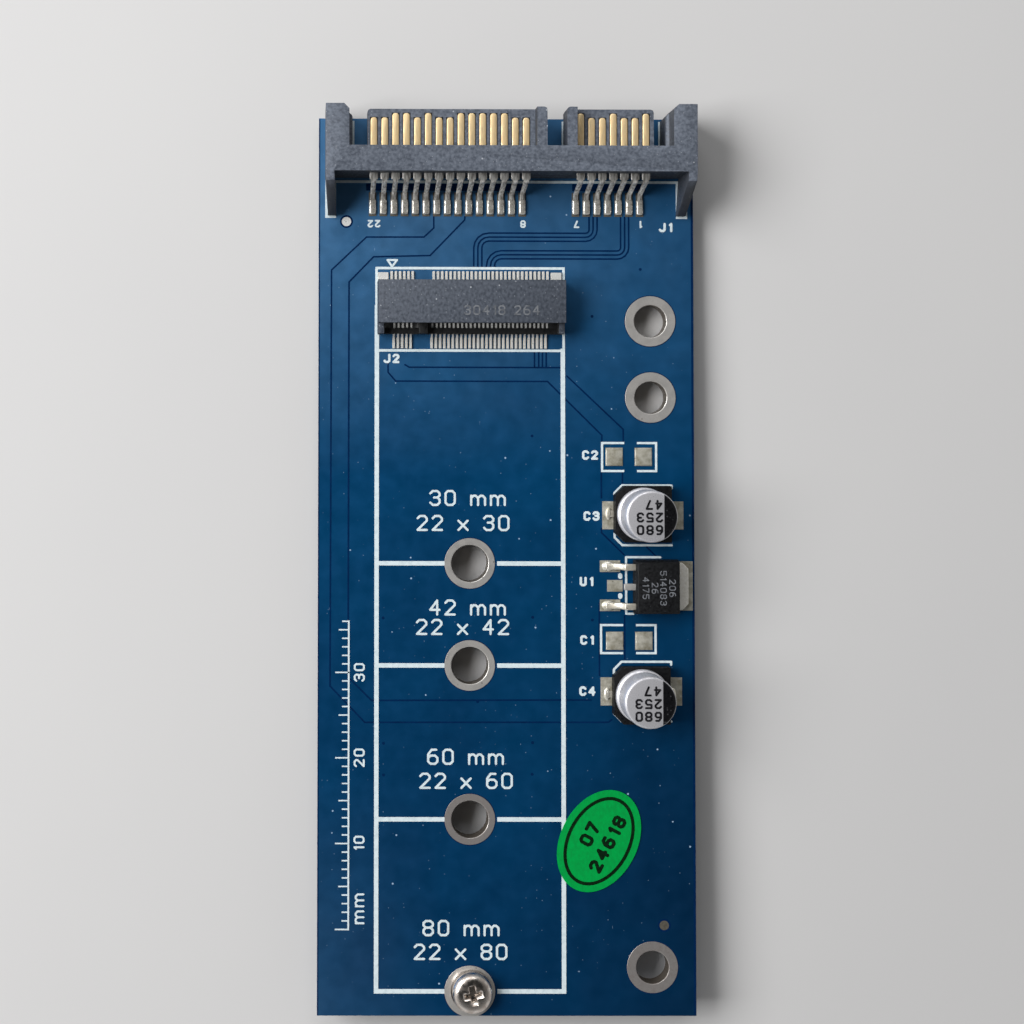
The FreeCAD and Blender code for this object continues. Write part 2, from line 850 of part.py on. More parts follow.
def main():
    """Build every piece and write one file for each."""
    os.makedirs("parts", exist_ok=True)
    for name, shape in build_nodes().items():
        shape.exportStep(f"parts/{name}.step")


main()
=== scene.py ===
"""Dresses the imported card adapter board: its mask, print, solder and small formed metal parts."""

import logging
import math
from abc import ABC, abstractmethod
from dataclasses import dataclass, field, replace
from enum import Enum
from functools import reduce
from typing import Callable, NamedTuple, Sequence, Union

import bmesh
import bpy
from mathutils import Euler, Matrix, Vector


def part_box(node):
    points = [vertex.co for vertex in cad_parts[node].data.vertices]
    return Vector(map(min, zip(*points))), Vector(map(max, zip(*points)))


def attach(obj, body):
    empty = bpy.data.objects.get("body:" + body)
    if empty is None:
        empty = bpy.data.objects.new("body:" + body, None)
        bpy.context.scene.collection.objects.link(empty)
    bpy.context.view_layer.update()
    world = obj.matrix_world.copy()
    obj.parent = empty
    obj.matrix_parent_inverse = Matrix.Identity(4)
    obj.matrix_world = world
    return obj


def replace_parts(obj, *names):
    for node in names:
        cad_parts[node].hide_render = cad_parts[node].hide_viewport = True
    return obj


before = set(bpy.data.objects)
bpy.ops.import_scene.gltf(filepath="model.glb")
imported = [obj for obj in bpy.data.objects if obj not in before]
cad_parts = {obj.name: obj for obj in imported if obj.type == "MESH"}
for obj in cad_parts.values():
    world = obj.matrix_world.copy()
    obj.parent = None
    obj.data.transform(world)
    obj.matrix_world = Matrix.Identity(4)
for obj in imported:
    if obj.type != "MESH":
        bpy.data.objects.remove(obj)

LOG = logging.getLogger("adapter_board")

MM = 0.001
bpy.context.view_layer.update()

Colour = tuple[float, float, float]
Triple = tuple[float, float, float]
Point = tuple[float, float]
Run = tuple[Point, ...]
Mesh = bmesh.types.BMesh
Socket = bpy.types.NodeSocket
Value = Union[Socket, float, Colour]

EVEN: Triple = (1.0, 1.0, 1.0)
# Range of a cloud that a soft blend takes up.
SOFT: Point = (0.35, 0.65)
# How much rougher a metal is where it is fully tarnished.
ROUGH_SPREAD = 0.26
# Squared heights of a face's normal between which it passes from level to upright.
LEVEL_TO_UPRIGHT: Point = (0.6, 0.4)
# Sockets of the mixing node that take its share and its colours and give the mixed colour.
MIX_SHARE, MIX_FIRST, MIX_SECOND, MIX_RESULT = 0, 6, 7, 2
# How far a piece reaches into the one under it, in millimetres.
SINK = 0.01
# Distances within which the corners of a copied and of a turned mesh are merged, in millimetres.
COPY_WELD = 0.001
TURNED_WELD = 0.0005
# Angles above which an edge of solder, of a turned or of a rounded piece stays sharp, in degrees.
SOLDER_CREASE = 60.0
TURNED_CREASE = 50.0
ROUNDED_CREASE = 35.0
# Rows of faces from the lowest to the highest point of a dome of solder.
DOME_RINGS = 6
# Bores of the plated holes in millimetres.
CARD_BORE = 4.33
FIXING_BORE = 3.8


class Slot(Enum):
    """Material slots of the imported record."""

    MASK = "solder_mask"
    TINNED = "tinned_copper"
    PLUG = "plug_plastic"
    GOLD = "gold_contact"
    SOCKET = "socket_plastic"
    TIN = "tin_contact"
    CAN = "can_aluminium"
    BASE = "base_plastic"
    RESIN = "package_resin"
    SCREW = "screw_steel"


class Axis(Enum):
    """Axes that a finish can change along."""

    X = "X"
    Y = "Y"
    Z = "Z"


class Side(Enum):
    """Sides of a part, as its nodes name them."""

    LEFT = "left"
    RIGHT = "right"


class Place(Enum):
    """Coordinates that nodes can read: a piece's own or the world's."""

    PIECE = "Object"
    WORLD = "Generated"


def linear(colour: Colour) -> Colour:
    """Turn a screen colour of 0 to 255 per channel into the linear one that a shader takes."""
    shares = (channel / 255 for channel in colour)
    return tuple(c / 12.92 if c <= 0.04045 else ((c + 0.055) / 1.055) ** 2.4 for c in shares)


@dataclass(frozen=True)
class Specks:
    """Dots, one to a cell at most: the cell in millimetres, the dot's share of it and the share of cells."""

    cell: float
    radius: float
    chance: float
    strength: float = 1.0
    stretch: Triple = EVEN
    edge: float = 0.55
    choice: float = 0.02


class NodeSheet:
    """The nodes of a material or of the world, from their coordinates on."""

    def __init__(self, tree: bpy.types.NodeTree, place: Place = Place.PIECE) -> None:
        """Take the tree that the nodes go into and the kind of coordinates they read."""
        self.tree = tree
        self.place = self.add("TexCoord", place.value)

    def add(
        self, kind: str, output: str | int, inputs: dict[str | int, Value] | None = None, **options: object
    ) -> Socket:
        """Add a node.

        Args:
            kind: Type of the node, without its prefix.
            output: Name or number of the output to give.
            inputs: What each input takes.
            options: Settings of the node by name.

        Returns:
            The output.
        """
        node = self.tree.nodes.new(f"ShaderNode{kind}")
        for option, value in options.items():
            setattr(node, option, value)
        for key, value in (inputs or {}).items():
            self.feed(node.inputs[key], value)
        return node.outputs[output]

    def feed(self, socket: Socket, value: Value) -> None:
        """Link a value into a socket, or set it there where it is constant.

        Args:
            socket: Input to feed.
            value: Output of another node, a number, a vector or a colour.
        """
        if isinstance(value, Socket):
            self.tree.links.new(value, socket)
        elif socket.type == "RGBA":
            socket.default_value = (*linear(value), 1.0)
        else:
            socket.default_value = value

    def scaled(self, size: float, stretch: Triple = EVEN) -> Socket:
        """Give the coordinates in steps of a size in millimetres, longer where they are stretched."""
        steps = tuple(1 / (size * MM * share) for share in stretch)
        return self.add("Mapping", "Vector", {"Vector": self.place, "Scale": steps})

    def noise(self, size: float, detail: float = 2.0, stretch: Triple = EVEN) -> Socket:
        """Lay clouds of a size in millimetres, from 0 to 1, with this many finer layers."""
        inputs = {"Vector": self.scaled(size, stretch), "Scale": 1.0, "Detail": detail}
        return self.add("TexNoise", "Fac", inputs)

    def specks(self, dots: Specks) -> Socket:
        """Scatter dots.

        Args:
            dots: Their sizes and strength.

        Returns:
            The strength on the dots and 0 between them.
        """
        cells = {"Vector": self.scaled(dots.cell, dots.stretch), "Scale": 1.0}
        away = self.add("TexVoronoi", "Distance", cells)
        draw = self.add("SeparateColor", "Red", {"Color": away.node.outputs["Color"]})
        chosen = self.band(draw, 1 - dots.chance, 1 - dots.chance + dots.choice)
        return self.times(chosen, self.band(away, dots.radius, dots.radius * dots.edge), dots.strength)

    def band(self, value: Value, low: float, high: float, first: Value = 0.0, last: float = 1.0) -> Socket:
        """Stretch the range of a value from low to high over the range from first to last."""
        inputs = {"Value": value, "From Min": low, "From Max": high, "To Min": first, "To Max": last}
        return self.add("MapRange", "Result", inputs)

    def joined(self, operation: str, values: Sequence[Value]) -> Socket:
        """Join values by one kind of arithmetic."""
        return reduce(lambda one, two: self.add("Math", 0, {0: one, 1: two}, operation=operation), values)

    def plus(self, *values: Value) -> Socket:
        """Add values up."""
        return self.joined("ADD", values)

    def times(self, *values: Value) -> Socket:
        """Multiply values."""
        return self.joined("MULTIPLY", values)

    def most(self, *values: Value) -> Socket:
        """Give the largest of some values."""
        return self.joined("MAXIMUM", values)

    def blend(self, share: Value, first: Value, second: Value) -> Socket:
        """Mix two colours, with this share of the second."""
        inputs = {MIX_SHARE: share, MIX_FIRST: first, MIX_SECOND: second}
        return self.add("Mix", MIX_RESULT, inputs, data_type="RGBA")

    def along(self, axis: Axis, low: float, high: float) -> Socket:
        """Rise from 0 to 1 along an axis, between two places in millimetres."""
        return self.band(self.add("SeparateXYZ", axis.value, {"Vector": self.place}), low * MM, high * MM)

    def towards(self, across: Point, up: Point) -> Socket:
        """Rise towards a corner, between two places along X and two along Y."""
        return self.times(self.along(Axis.X, *across), self.along(Axis.Y, *up))

    def steep(self) -> Socket:
        """Give 1 on upright faces and 0 on level ones."""
        height = self.add("SeparateXYZ", "Z", {"Vector": self.add("NewGeometry", "Normal")})
        return self.band(self.times(height, height), *LEVEL_TO_UPRIGHT)

    def relief(self, height: Value, depth: float, strength: float = 1.0) -> Socket:
        """Raise a relief of a depth in millimetres out of a pattern, and give its normal."""
        return self.add("Bump", "Normal", {"Height": height, "Distance": depth * MM, "Strength": strength})

    def surface(self, **values: Value) -> None:
        """Feed the surface's sockets, named with _ for a space."""
        for name, value in values.items():
            self.feed(self.tree.nodes["Principled BSDF"].inputs[name.replace("_", " ")], value)


@dataclass(frozen=True)
class Finish(ABC):
    """A finish that several pieces can share."""

    name: str

    def material(self) -> bpy.types.Material:
        """Give the finish's material, made on its first use.

        Returns:
            The material.
        """
        made = bpy.data.materials.get(self.name)
        if made is None:
            made = bpy.data.materials.new(self.name)
            made.use_nodes = True
            self.lay(NodeSheet(made.node_tree))
        return made

    @abstractmethod
    def lay(self, sheet: NodeSheet) -> None:
        """Lay the finish out on a sheet of nodes."""


@dataclass(frozen=True)
class MaskFinish(Finish):
    """Glossy blue solder mask over copper, with dust on it, raw laminate at the cut edges, and painted light
    and shade.
    """

    deep: Colour = (0.99, 54.85, 96.4)
    pale: Colour = (1.98, 77.91, 125.82)
    # Colour of the painted shade towards the lower right.
    far: Colour = (0.0, 21.96, 48.39)
    dust: Colour = (180, 208, 234)
    # Pale colour of a painted sheen of light mixed with a film of dust.
    haze: Colour = (122, 176, 225)
    laminate: Colour = (34, 44, 52)
    cloud: float = 9.0
    cloud_band: Point = (0.3, 0.7)
    cloud_share: float = 0.4
    # Painted light: the mask pales towards the top between these places along Y, by this share.
    slope: Point = (-60.0, 20.0)
    slope_share: float = 0.6
    # Painted shade: the mask darkens towards the lower right.
    far_corner: tuple[Point, Point] = ((0.0, 24.0), (5.0, -35.0))
    far_share: float = 0.55
    # Painted sheen towards the upper left and painted light towards the lower left, where the mask pales.
    haze_corner: tuple[Point, Point] = ((45.0, -25.0), (10.0, 45.0))
    low_corner: tuple[Point, Point] = ((-8.0, -30.0), (-25.0, -60.0))
    low_share: float = 0.6
    haze_share: float = 0.5
    smear: float = 5.0
    least_smear: float = 1 / 3
    full_smear: float = 0.8
    patch: float = 7.0
    patch_band: Point = (0.4, 0.6)
    coarse: Specks = Specks(1.84, 0.075, 0.4, 0.8)
    fine: Specks = Specks(0.6, 0.12, 0.3, 0.4)
    hairs: Specks = Specks(2.6, 0.03, 0.3, 0.35, (0.4, 3.0, 1.0))
    metallic: float = 0.5
    shine: float = 2.0
    roughness: Point = (0.231, 0.615)
    peel: float = 0.7

    def lay(self, sheet: NodeSheet) -> None:
        """Lay clouded blue, painted light and shade, a painted sheen mixed with dust, dust, hairlines and the
        cut edge.

        Args:
            sheet: Nodes that take it.
        """
        clouds = sheet.band(sheet.noise(self.cloud, detail=4.0), *self.cloud_band)
        # Painted light: paler towards the top.
        slope = sheet.times(sheet.along(Axis.Y, *self.slope), self.slope_share)
        base = sheet.blend(sheet.plus(sheet.times(clouds, self.cloud_share), slope), self.deep, self.pale)
        # Painted shade towards the lower right.
        base = sheet.blend(sheet.times(sheet.towards(*self.far_corner), self.far_share), base, self.far)
        # Painted sheen at the upper left and painted light at the lower left, broken up by smears of dust.
        low = sheet.times(sheet.towards(*self.low_corner), self.low_share)
        painted_light_reach = sheet.most(sheet.towards(*self.haze_corner), low)
        smears = sheet.band(sheet.noise(self.smear, detail=5.0), 0.0, self.full_smear, self.least_smear)
        base = sheet.blend(sheet.times(painted_light_reach, smears, self.haze_share), base, self.haze)
        fine = sheet.times(sheet.specks(self.fine), sheet.band(sheet.noise(self.patch), *self.patch_band))
        dust = sheet.most(sheet.specks(self.coarse), fine, sheet.specks(self.hairs))
        base = sheet.blend(dust, base, self.dust)
        sheet.surface(
            Base_Color=sheet.blend(sheet.steep(), base, self.laminate),
            Metallic=sheet.band(dust, 0.0, 1.0, self.metallic, 0.0),
            Roughness=sheet.band(sheet.noise(self.shine), 0.0, 1.0, *self.roughness),
            Specular_IOR_Level=0.2,
            Coat_Weight=0.1,
            Coat_Roughness=0.3,
            Normal=sheet.relief(sheet.noise(self.peel, detail=1.0), depth=0.006, strength=0.5),
        )


@dataclass(frozen=True)
class GapFinish(Finish):
    """Mask that has sunk into a gap in the copper, so that it looks darker; also laid as painted shadow
    between the plug's tails.
    """

    deep: Colour = (0, 26, 62)
    pale: Colour = (0, 40, 82)
    cloud: float = 1.5
    shine: float = 0.5
    roughness: Point = (0.231, 0.615)

    def lay(self, sheet: NodeSheet) -> None:
        """Lay a dark blue that varies along the gap.

        Args:
            sheet: Nodes that take it.
        """
        rough = sheet.band(sheet.noise(self.shine), 0.0, 1.0, *self.roughness)
        base = sheet.blend(sheet.noise(self.cloud), self.deep, self.pale)
        sheet.surface(Base_Color=base, Roughness=rough, Specular_IOR_Level=0.1)


@dataclass(frozen=True)
class InkFinish(Finish):
    """Printed ink with thin spots and scuffs."""

    full: Colour = (215, 227, 231)
    thin: Colour = (200, 214, 219)
    cover: float = 0.5
    cover_band: Point = (0.35, 0.55)
    scuffs: Specks = Specks(0.8, 0.2, 0.2, 0.4)
    shine: float = 0.3
    roughness: Point = (0.219, 0.844)

    def lay(self, sheet: NodeSheet) -> None:
        """Lay the ink with its thin spots and scuffs.

        Args:
            sheet: Nodes that take it.
        """
        cover = sheet.band(sheet.noise(self.cover, detail=3.0), *self.cover_band)
        base = sheet.blend(cover, self.thin, self.full)
        sheet.surface(
            Base_Color=sheet.blend(sheet.specks(self.scuffs), base, self.thin),
            Roughness=sheet.band(sheet.noise(self.shine), 0.0, 1.0, *self.roughness),
            Specular_IOR_Level=0.15,
            Normal=sheet.relief(cover, depth=0.003),
        )


@dataclass(frozen=True)
class MouldedFinish(Finish):
    """Moulded dark plastic with flow lines, grain and pale specks of dust, and painted shade on its walls and
    low faces.
    """

    body: Colour
    flow: Colour
    dust: Colour = (190, 194, 200)
    shaded: Colour = (18, 19, 22)
    shade_top: float = 0.0
    shade_span: Point = (-1000.0, 1000.0)
    shade_fade: float = 0.2
    shade_blur: float = 0.03
    wall_shade: float = 0.75
    roughness: Point = (0.413, 0.754)
    gloss: float = 0.4
    streak: float = 0.3
    streak_band: Point = (0.34, 0.66)
    grain: Triple = EVEN
    pore: float = 0.12
    dusty: float = 0.25
    coarse: Specks = Specks(1.06, 0.1, 0.0, 0.8)
    fine: Specks = Specks(0.35, 0.2, 0.0, 0.35)

    def lay(self, sheet: NodeSheet) -> None:
        """Lay the flow lines, the grain and the dust, and paint shade on the upright walls and the low faces.

        Args:
            sheet: Nodes that take it.
        """
        streaks = sheet.band(sheet.noise(self.streak, detail=5.0, stretch=self.grain), *self.streak_band)
        base = sheet.blend(streaks, self.body, self.flow)
        coarse, fine = (sheet.specks(replace(dots, chance=self.dusty)) for dots in (self.coarse, self.fine))
        base = sheet.blend(sheet.most(coarse, fine), base, self.dust)
        first, last = self.shade_span
        # Painted shade: faces below shade_top within shade_span, and upright walls by wall_shade, take the
        # shaded colour.
        low = sheet.times(
            sheet.along(Axis.Z, self.shade_top, self.shade_top - self.shade_fade),
            sheet.along(Axis.X, first - self.shade_blur, first + self.shade_blur),
            sheet.along(Axis.X, last + self.shade_blur, last - self.shade_blur),
        )
        painted_shade = sheet.most(sheet.times(sheet.steep(), self.wall_shade), low)
        sheet.surface(
            Base_Color=sheet.blend(painted_shade, base, self.shaded),
            Roughness=sheet.band(streaks, 0.0, 1.0, *self.roughness),
            Specular_IOR_Level=self.gloss,
            Normal=sheet.relief(sheet.noise(self.pore), depth=0.012, strength=0.6),
        )


@dataclass(frozen=True)
class MetalFinish(Finish):
    """Plated or bare metal with cloudy tarnish and fine pits."""

    bright: Colour
    dull: Colour
    # Colour of the stains, also used as painted shade on the upright walls.
    stain: Colour = (84, 76, 66)
    cloud: float = 0.5
    roughness: float = 0.296
    stained: float = 0.2
    stains: Specks = Specks(0.7, 0.16, 0.0, 0.6)
    ripple: float = 0.01
    ripple_share: float = 0.6
    metallic: float = 1.0
    wall_shade: float = 0.0

    def lay(self, sheet: NodeSheet) -> None:
        """Lay the tarnish, the stains, the ripple and the shade of the upright walls.

        Args:
            sheet: Nodes that take it.
        """
        tarnish = sheet.band(sheet.noise(self.cloud, detail=4.0), *SOFT)
        base = sheet.blend(tarnish, self.bright, self.dull)
        base = sheet.blend(sheet.specks(replace(self.stains, chance=self.stained)), base, self.stain)
        # Painted shade: upright walls are darkened by wall_shade.
        base = sheet.blend(sheet.times(sheet.steep(), self.wall_shade), base, self.stain)
        sheet.surface(
            Base_Color=self.paint(sheet, base),
            Metallic=self.metallic,
            Roughness=sheet.band(tarnish, 0.0, 1.0, self.roughness, self.roughness + ROUGH_SPREAD),
            Normal=sheet.relief(sheet.noise(self.cloud * self.ripple_share), self.ripple),
        )

    def paint(self, sheet: NodeSheet, base: Value) -> Value:
        """Leave the metal bare."""
        return base


@dataclass(frozen=True)
class CanFinish(MetalFinish):
    """Drawn aluminium whose top is painted dark on one side of a straight line."""

    dark: Colour = (16, 16, 20)
    chip: Colour = (150, 150, 156)
    chips: Specks = Specks(0.34, 0.3, 0.35, 0.25)
    line: float = 0.0
    line_blur: float = 0.02
    foot: float = 0.0
    foot_blur: float = 0.03

    def paint(self, sheet: NodeSheet, base: Value) -> Value:
        """Paint the top beyond the line.

        Args:
            sheet: Nodes that take it.
            base: Colour of the bare metal.

        Returns:
            The painted colour.
        """
        beyond = sheet.along(Axis.X, self.line - self.line_blur, self.line + self.line_blur)
        above = sheet.along(Axis.Z, self.foot - self.foot_blur, self.foot + self.foot_blur)
        paint = sheet.blend(sheet.specks(self.chips), self.dark, self.chip)
        return sheet.blend(sheet.times(beyond, above), base, paint)


@dataclass(frozen=True)
class TabFinish(MetalFinish):
    """Tinned copper tab whose cut stub, on its left, is painted darker."""

    stub: Colour = (158, 157, 154)
    turn: float = 16.0
    turn_blur: float = 0.1

    def paint(self, sheet: NodeSheet, base: Value) -> Value:
        """Paint the stub darker."""
        return sheet.blend(sheet.along(Axis.X, self.turn, self.turn - self.turn_blur), base, self.stub)


@dataclass(frozen=True)
class ContactFinish(Finish):
    """Contact plated with gold on its mating end and with dull tin on its tail."""

    gold: Colour = (240, 214, 168)
    worn_gold: Colour = (226, 198, 150)
    tin: Colour = (210, 208, 203)
    dull_tin: Colour = (124, 121, 116)
    wear: float = 0.5
    wear_stretch: Triple = (0.5, 2.0, 1.0)
    turn: float = 45.9
    turn_blur: float = 0.3
    metallic: float = 0.55
    roughness: Point = (0.333, 0.636)
    pit: float = 0.25

    def lay(self, sheet: NodeSheet) -> None:
        """Lay gold forward of the turn and tin behind it.

        Args:
            sheet: Nodes that take it.
        """
        wear = sheet.band(sheet.noise(self.wear, detail=3.0, stretch=self.wear_stretch), *SOFT)
        front = sheet.blend(wear, self.gold, self.worn_gold)
        back = sheet.blend(wear, self.tin, self.dull_tin)
        sheet.surface(
            Base_Color=sheet.blend(sheet.along(Axis.Y, self.turn - self.turn_blur, self.turn), back, front),
            Metallic=self.metallic,
            Roughness=sheet.band(wear, 0.0, 1.0, *self.roughness),
            Normal=sheet.relief(sheet.noise(self.pit), depth=0.004),
        )


@dataclass(frozen=True)
class PaperFinish(Finish):
    """Printed paper with visible fibre."""

    full: Colour = (0, 160, 70)
    thin: Colour = (0, 146, 64)
    fibre: float = 0.3
    fibre_stretch: Triple = (1.0, 2.0, 1.0)
    roughness: Point = (0.3, 0.8)

    def lay(self, sheet: NodeSheet) -> None:
        """Lay the colour with its fibre.

        Args:
            sheet: Nodes that take it.
        """
        fibre = sheet.noise(self.fibre, detail=5.0, stretch=self.fibre_stretch)
        sheet.surface(
            Base_Color=sheet.blend(sheet.band(fibre, *SOFT), self.full, self.thin),
            Roughness=sheet.band(fibre, 0.0, 1.0, *self.roughness),
            Specular_IOR_Level=0.1,
            Normal=sheet.relief(fibre, depth=0.012, strength=0.5),
        )


@dataclass(frozen=True)
class FloorFinish(Finish):
    """Plain pale paper under the part."""

    near: Colour = (209, 208, 207)
    far: Colour = (205, 204, 204)
    cloud: float = 40.0

    def lay(self, sheet: NodeSheet) -> None:
        """Lay a pale grey with a soft cloud."""
        base = sheet.blend(sheet.noise(self.cloud, detail=3.0), self.near, self.far)
        sheet.surface(Base_Color=base, Roughness=0.8, Specular_IOR_Level=0.2)


MASK = MaskFinish("blue_mask")
GAP_AND_SHADOW = GapFinish("sunk_mask_and_shadow")
WHITE_INK = InkFinish("white_print")
BLACK_INK = InkFinish("black_print", (20, 20, 23), (38, 38, 42))
GREY_INK = InkFinish("grey_print", (118, 121, 126), (92, 95, 100))
SEAL_INK = InkFinish("dark_green_print", (0, 26, 6), (0, 36, 10))
PLUG_PLASTIC = MouldedFinish("plug_moulding", (74, 80, 91), (106, 113, 125), grain=(1.1, 1.0, 1.0), dusty=0.3)
SOCKET_PLASTIC = MouldedFinish(
    "socket_moulding", (60, 66, 76), (84, 90, 101), shaded=(10, 11, 13), shade_top=6.75,
    shade_span=(-14.6, 5.94), grain=(1.0, 1.4, 1.0), dusty=0.4,
)
BASE_PLASTIC = MouldedFinish(
    "base_moulding", (11, 11, 13), (18, 19, 21), (90, 92, 96), (8, 8, 9), gloss=0.2, dusty=0.06
)
RESIN = MouldedFinish(
    "package_moulding", (12, 12, 14), (26, 27, 29), (84, 87, 92), (10, 10, 11), gloss=0.18, dusty=0.2
)
RING_TIN = MetalFinish(
    "ring_plating", (210, 207, 203), (178, 175, 171), cloud=0.9, roughness=0.329, metallic=0.65,
    wall_shade=0.85,
)
# The same plating in darker colours, for two of the rings.
DARKER_RING_TIN = replace(
    RING_TIN, name="darker_ring_plating", bright=(176, 171, 168), dull=(142, 136, 133), cloud=0.7
)
SOLDER = MetalFinish(
    "solder", (226, 222, 210), (190, 184, 168), cloud=1.2, roughness=0.232, ripple=0.02, metallic=0.6
)
BEAD = MetalFinish(
    "bead_solder", (236, 233, 224), (172, 167, 158), cloud=0.4, roughness=0.184, stained=0.3, ripple=0.05,
    metallic=0.6,
)
PAD_TIN = MetalFinish(
    "pad_tinning", (214, 211, 198), (150, 145, 128), (98, 91, 75), cloud=0.9, stained=0.35, metallic=0.45
)
TAIL_TIN = MetalFinish(
    "tail_plating", (250, 250, 247), (228, 227, 223), cloud=0.4, roughness=0.248, metallic=0.4
)
LEAD_TIN = MetalFinish(
    "lead_plating", (226, 221, 208), (190, 183, 168), cloud=0.6, roughness=0.264, metallic=0.6
)
TAB_TIN = TabFinish(
    "tab_plating", (248, 245, 237), (232, 228, 217), cloud=0.3, roughness=0.353, stained=0.05, metallic=0.3
)
DARK_TIN = MetalFinish(
    "shaded_tinning", (134, 128, 116), (96, 91, 82), cloud=0.4, roughness=0.313, metallic=0.6
)
SCREW_METAL = MetalFinish(
    "screw_nickel", (222, 214, 206), (182, 170, 160), cloud=0.8, roughness=0.169, ripple=0.012
)
CAN_METAL = CanFinish(
    "can_metal", (212, 211, 215), (188, 187, 191), cloud=0.2, roughness=0.264, stained=0.06, ripple=0.004,
    metallic=0.5,
)
CONTACT = ContactFinish("contact_plating")
PAPER = PaperFinish("green_paper")
FLOOR = FloorFinish("pale_floor")


class Box(NamedTuple):
    """Lowest and highest corner of a solid in millimetres."""

    low: Vector
    high: Vector

    @property
    def middle(self) -> Vector:
        """Give the middle of the box."""
        return (self.low + self.high) / 2

    @property
    def size(self) -> Vector:
        """Give the sizes along the axes."""
        return self.high - self.low


def node_box(node: str) -> Box:
    """Give the box of a CAD node."""
    low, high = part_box(node)
    return Box(low / MM, high / MM)


BOARD_BOX = node_box("circuit_board")


def node_mesh(node: str) -> Mesh:
    """Copy a CAD node's mesh, merged and with whole faces, in millimetres.

    Args:
        node: Name of the node.

    Returns:
        The copy.
    """
    bm = bmesh.new()
    bm.from_mesh(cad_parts[node].data)
    bmesh.ops.scale(bm, vec=(1 / MM,) * 3, verts=bm.verts)
    bmesh.ops.remove_doubles(bm, verts=bm.verts, dist=COPY_WELD)
    bmesh.ops.dissolve_limit(bm, angle_limit=math.radians(1.0), verts=bm.verts, edges=bm.edges)
    return bm


def islands(node: str) -> list[Box]:
    """Give the box of each separate solid of a CAD node, from left to right.

    Args:
        node: Name of the node.

    Returns:
        The boxes.
    """
    bm = node_mesh(node)
    waiting = set(bm.verts)
    boxes = []
    while waiting:
        found = [waiting.pop()]
        for vert in found:
            near = {edge.other_vert(vert) for edge in vert.link_edges} & waiting
            waiting -= near
            found.extend(near)
        ends = [Vector(end(vert.co[axis] for vert in found) for axis in range(3)) for end in (min, max)]
        boxes.append(Box(*ends))
    bm.free()
    return sorted(boxes, key=lambda box: box.low.x)


def make_object(bm: Mesh, name: str, finish: Finish) -> bpy.types.Object:
    """Turn a mesh in millimetres into an object with a finish.

    Args:
        bm: The mesh, which is used up.
        name: Name of the object.
        finish: Its finish.

    Returns:
        The object.
    """
    bmesh.ops.scale(bm, vec=(MM,) * 3, verts=bm.verts)
    mesh = bpy.data.meshes.new(name)
    bm.to_mesh(mesh)
    bm.free()
    mesh.materials.append(finish.material())
    made = bpy.data.objects.new(name, mesh)
    bpy.context.collection.objects.link(made)
    return made


def make_piece(
    bm: Mesh, name: str, finish: Finish, slot: Slot | None = None, crease: float = 40.0
) -> bpy.types.Object:
    """Turn a closed mesh in millimetres into a dressed piece on the board.

    Args:
        bm: The mesh, which is used up.
        name: Name of the piece.
        finish: Its finish.
        slot: Not used.
        crease: Angle above which an edge stays sharp, in degrees.

    Returns:
        The piece.
    """
    bmesh.ops.recalc_face_normals(bm, faces=bm.faces)
    piece = make_object(bm, name, finish)
    piece.data.shade_smooth()
    piece.data.set_sharp_from_angle(angle=math.radians(crease))
    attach(piece, "root")
    LOG.info("%s: %d faces", name, len(piece.data.polygons))
    return piece


def dress(finish: Finish, *nodes: str) -> None:
    """Give CAD nodes a finish.

    Args:
        finish: The finish.
        nodes: Names of the nodes.
    """
    for node in nodes:
        for mesh_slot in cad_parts[node].material_slots:
            mesh_slot.link = "OBJECT"
            mesh_slot.material = finish.material()
        LOG.info("%s: dressed", node)


def round_edges(bm: Mesh, edges: Sequence[bmesh.types.BMEdge], width: float, segments: int) -> None:
    """Round edges of a mesh over a width."""
    bmesh.ops.bevel(
        bm, geom=edges, offset=width, offset_type="OFFSET", segments=segments, profile=0.5, material=-1,
        affect="EDGES", clamp_overlap=True,
    )


def soften(
    node: str, width: float, finish: Finish, slot: Slot, least: float = 0.25, keen: float = 50.0,
    form: Callable[[Mesh], None] | None = None,
) -> bpy.types.Object:
    """Replace a CAD node by a copy whose sharp outer edges are rounded.

    Args:
        node: Name of the node.
        width: Width of the rounding in millimetres.
        finish: Finish of the piece.
        slot: Material slot of the record.
        least: Shortest edge that may lie beside a rounded one.
        keen: Angle from which an edge counts as sharp, in degrees.
        form: Change made to the copy before its edges are rounded.

    Returns:
        The piece.
    """
    bm = node_mesh(node)
    if form is not None:
        form(bm)
    sharp = []
    for edge in bm.edges:
        if not edge.is_manifold or not edge.is_convex or edge.calc_face_angle() < math.radians(keen):
            continue
        around = {near for vert in edge.verts for near in vert.link_edges}
        if min(near.calc_length() for near in around) >= least:
            sharp.append(edge)
    round_edges(bm, sharp, width, 2)
    piece = make_piece(bm, f"{node}_formed", finish, slot, ROUNDED_CREASE)
    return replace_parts(piece, node)


def placed(spot: Sequence[float], turn: float = 0.0, size: Sequence[float] = EVEN) -> Matrix:
    """Give the matrix that sizes a shape, turns it about Z by some degrees and places it."""
    spin = Matrix.Rotation(math.radians(turn), 4, "Z")
    return Matrix.Translation(spot) @ spin @ Matrix.Diagonal((*size, 1.0))


def add_box(bm: Mesh, low: Sequence[float], high: Sequence[float]) -> list[bmesh.types.BMVert]:
    """Add a box between two corners to a mesh, and give its corners."""
    box = Box(Vector(low), Vector(high))
    return bmesh.ops.create_cube(bm, matrix=placed(box.middle, size=box.size))["verts"]


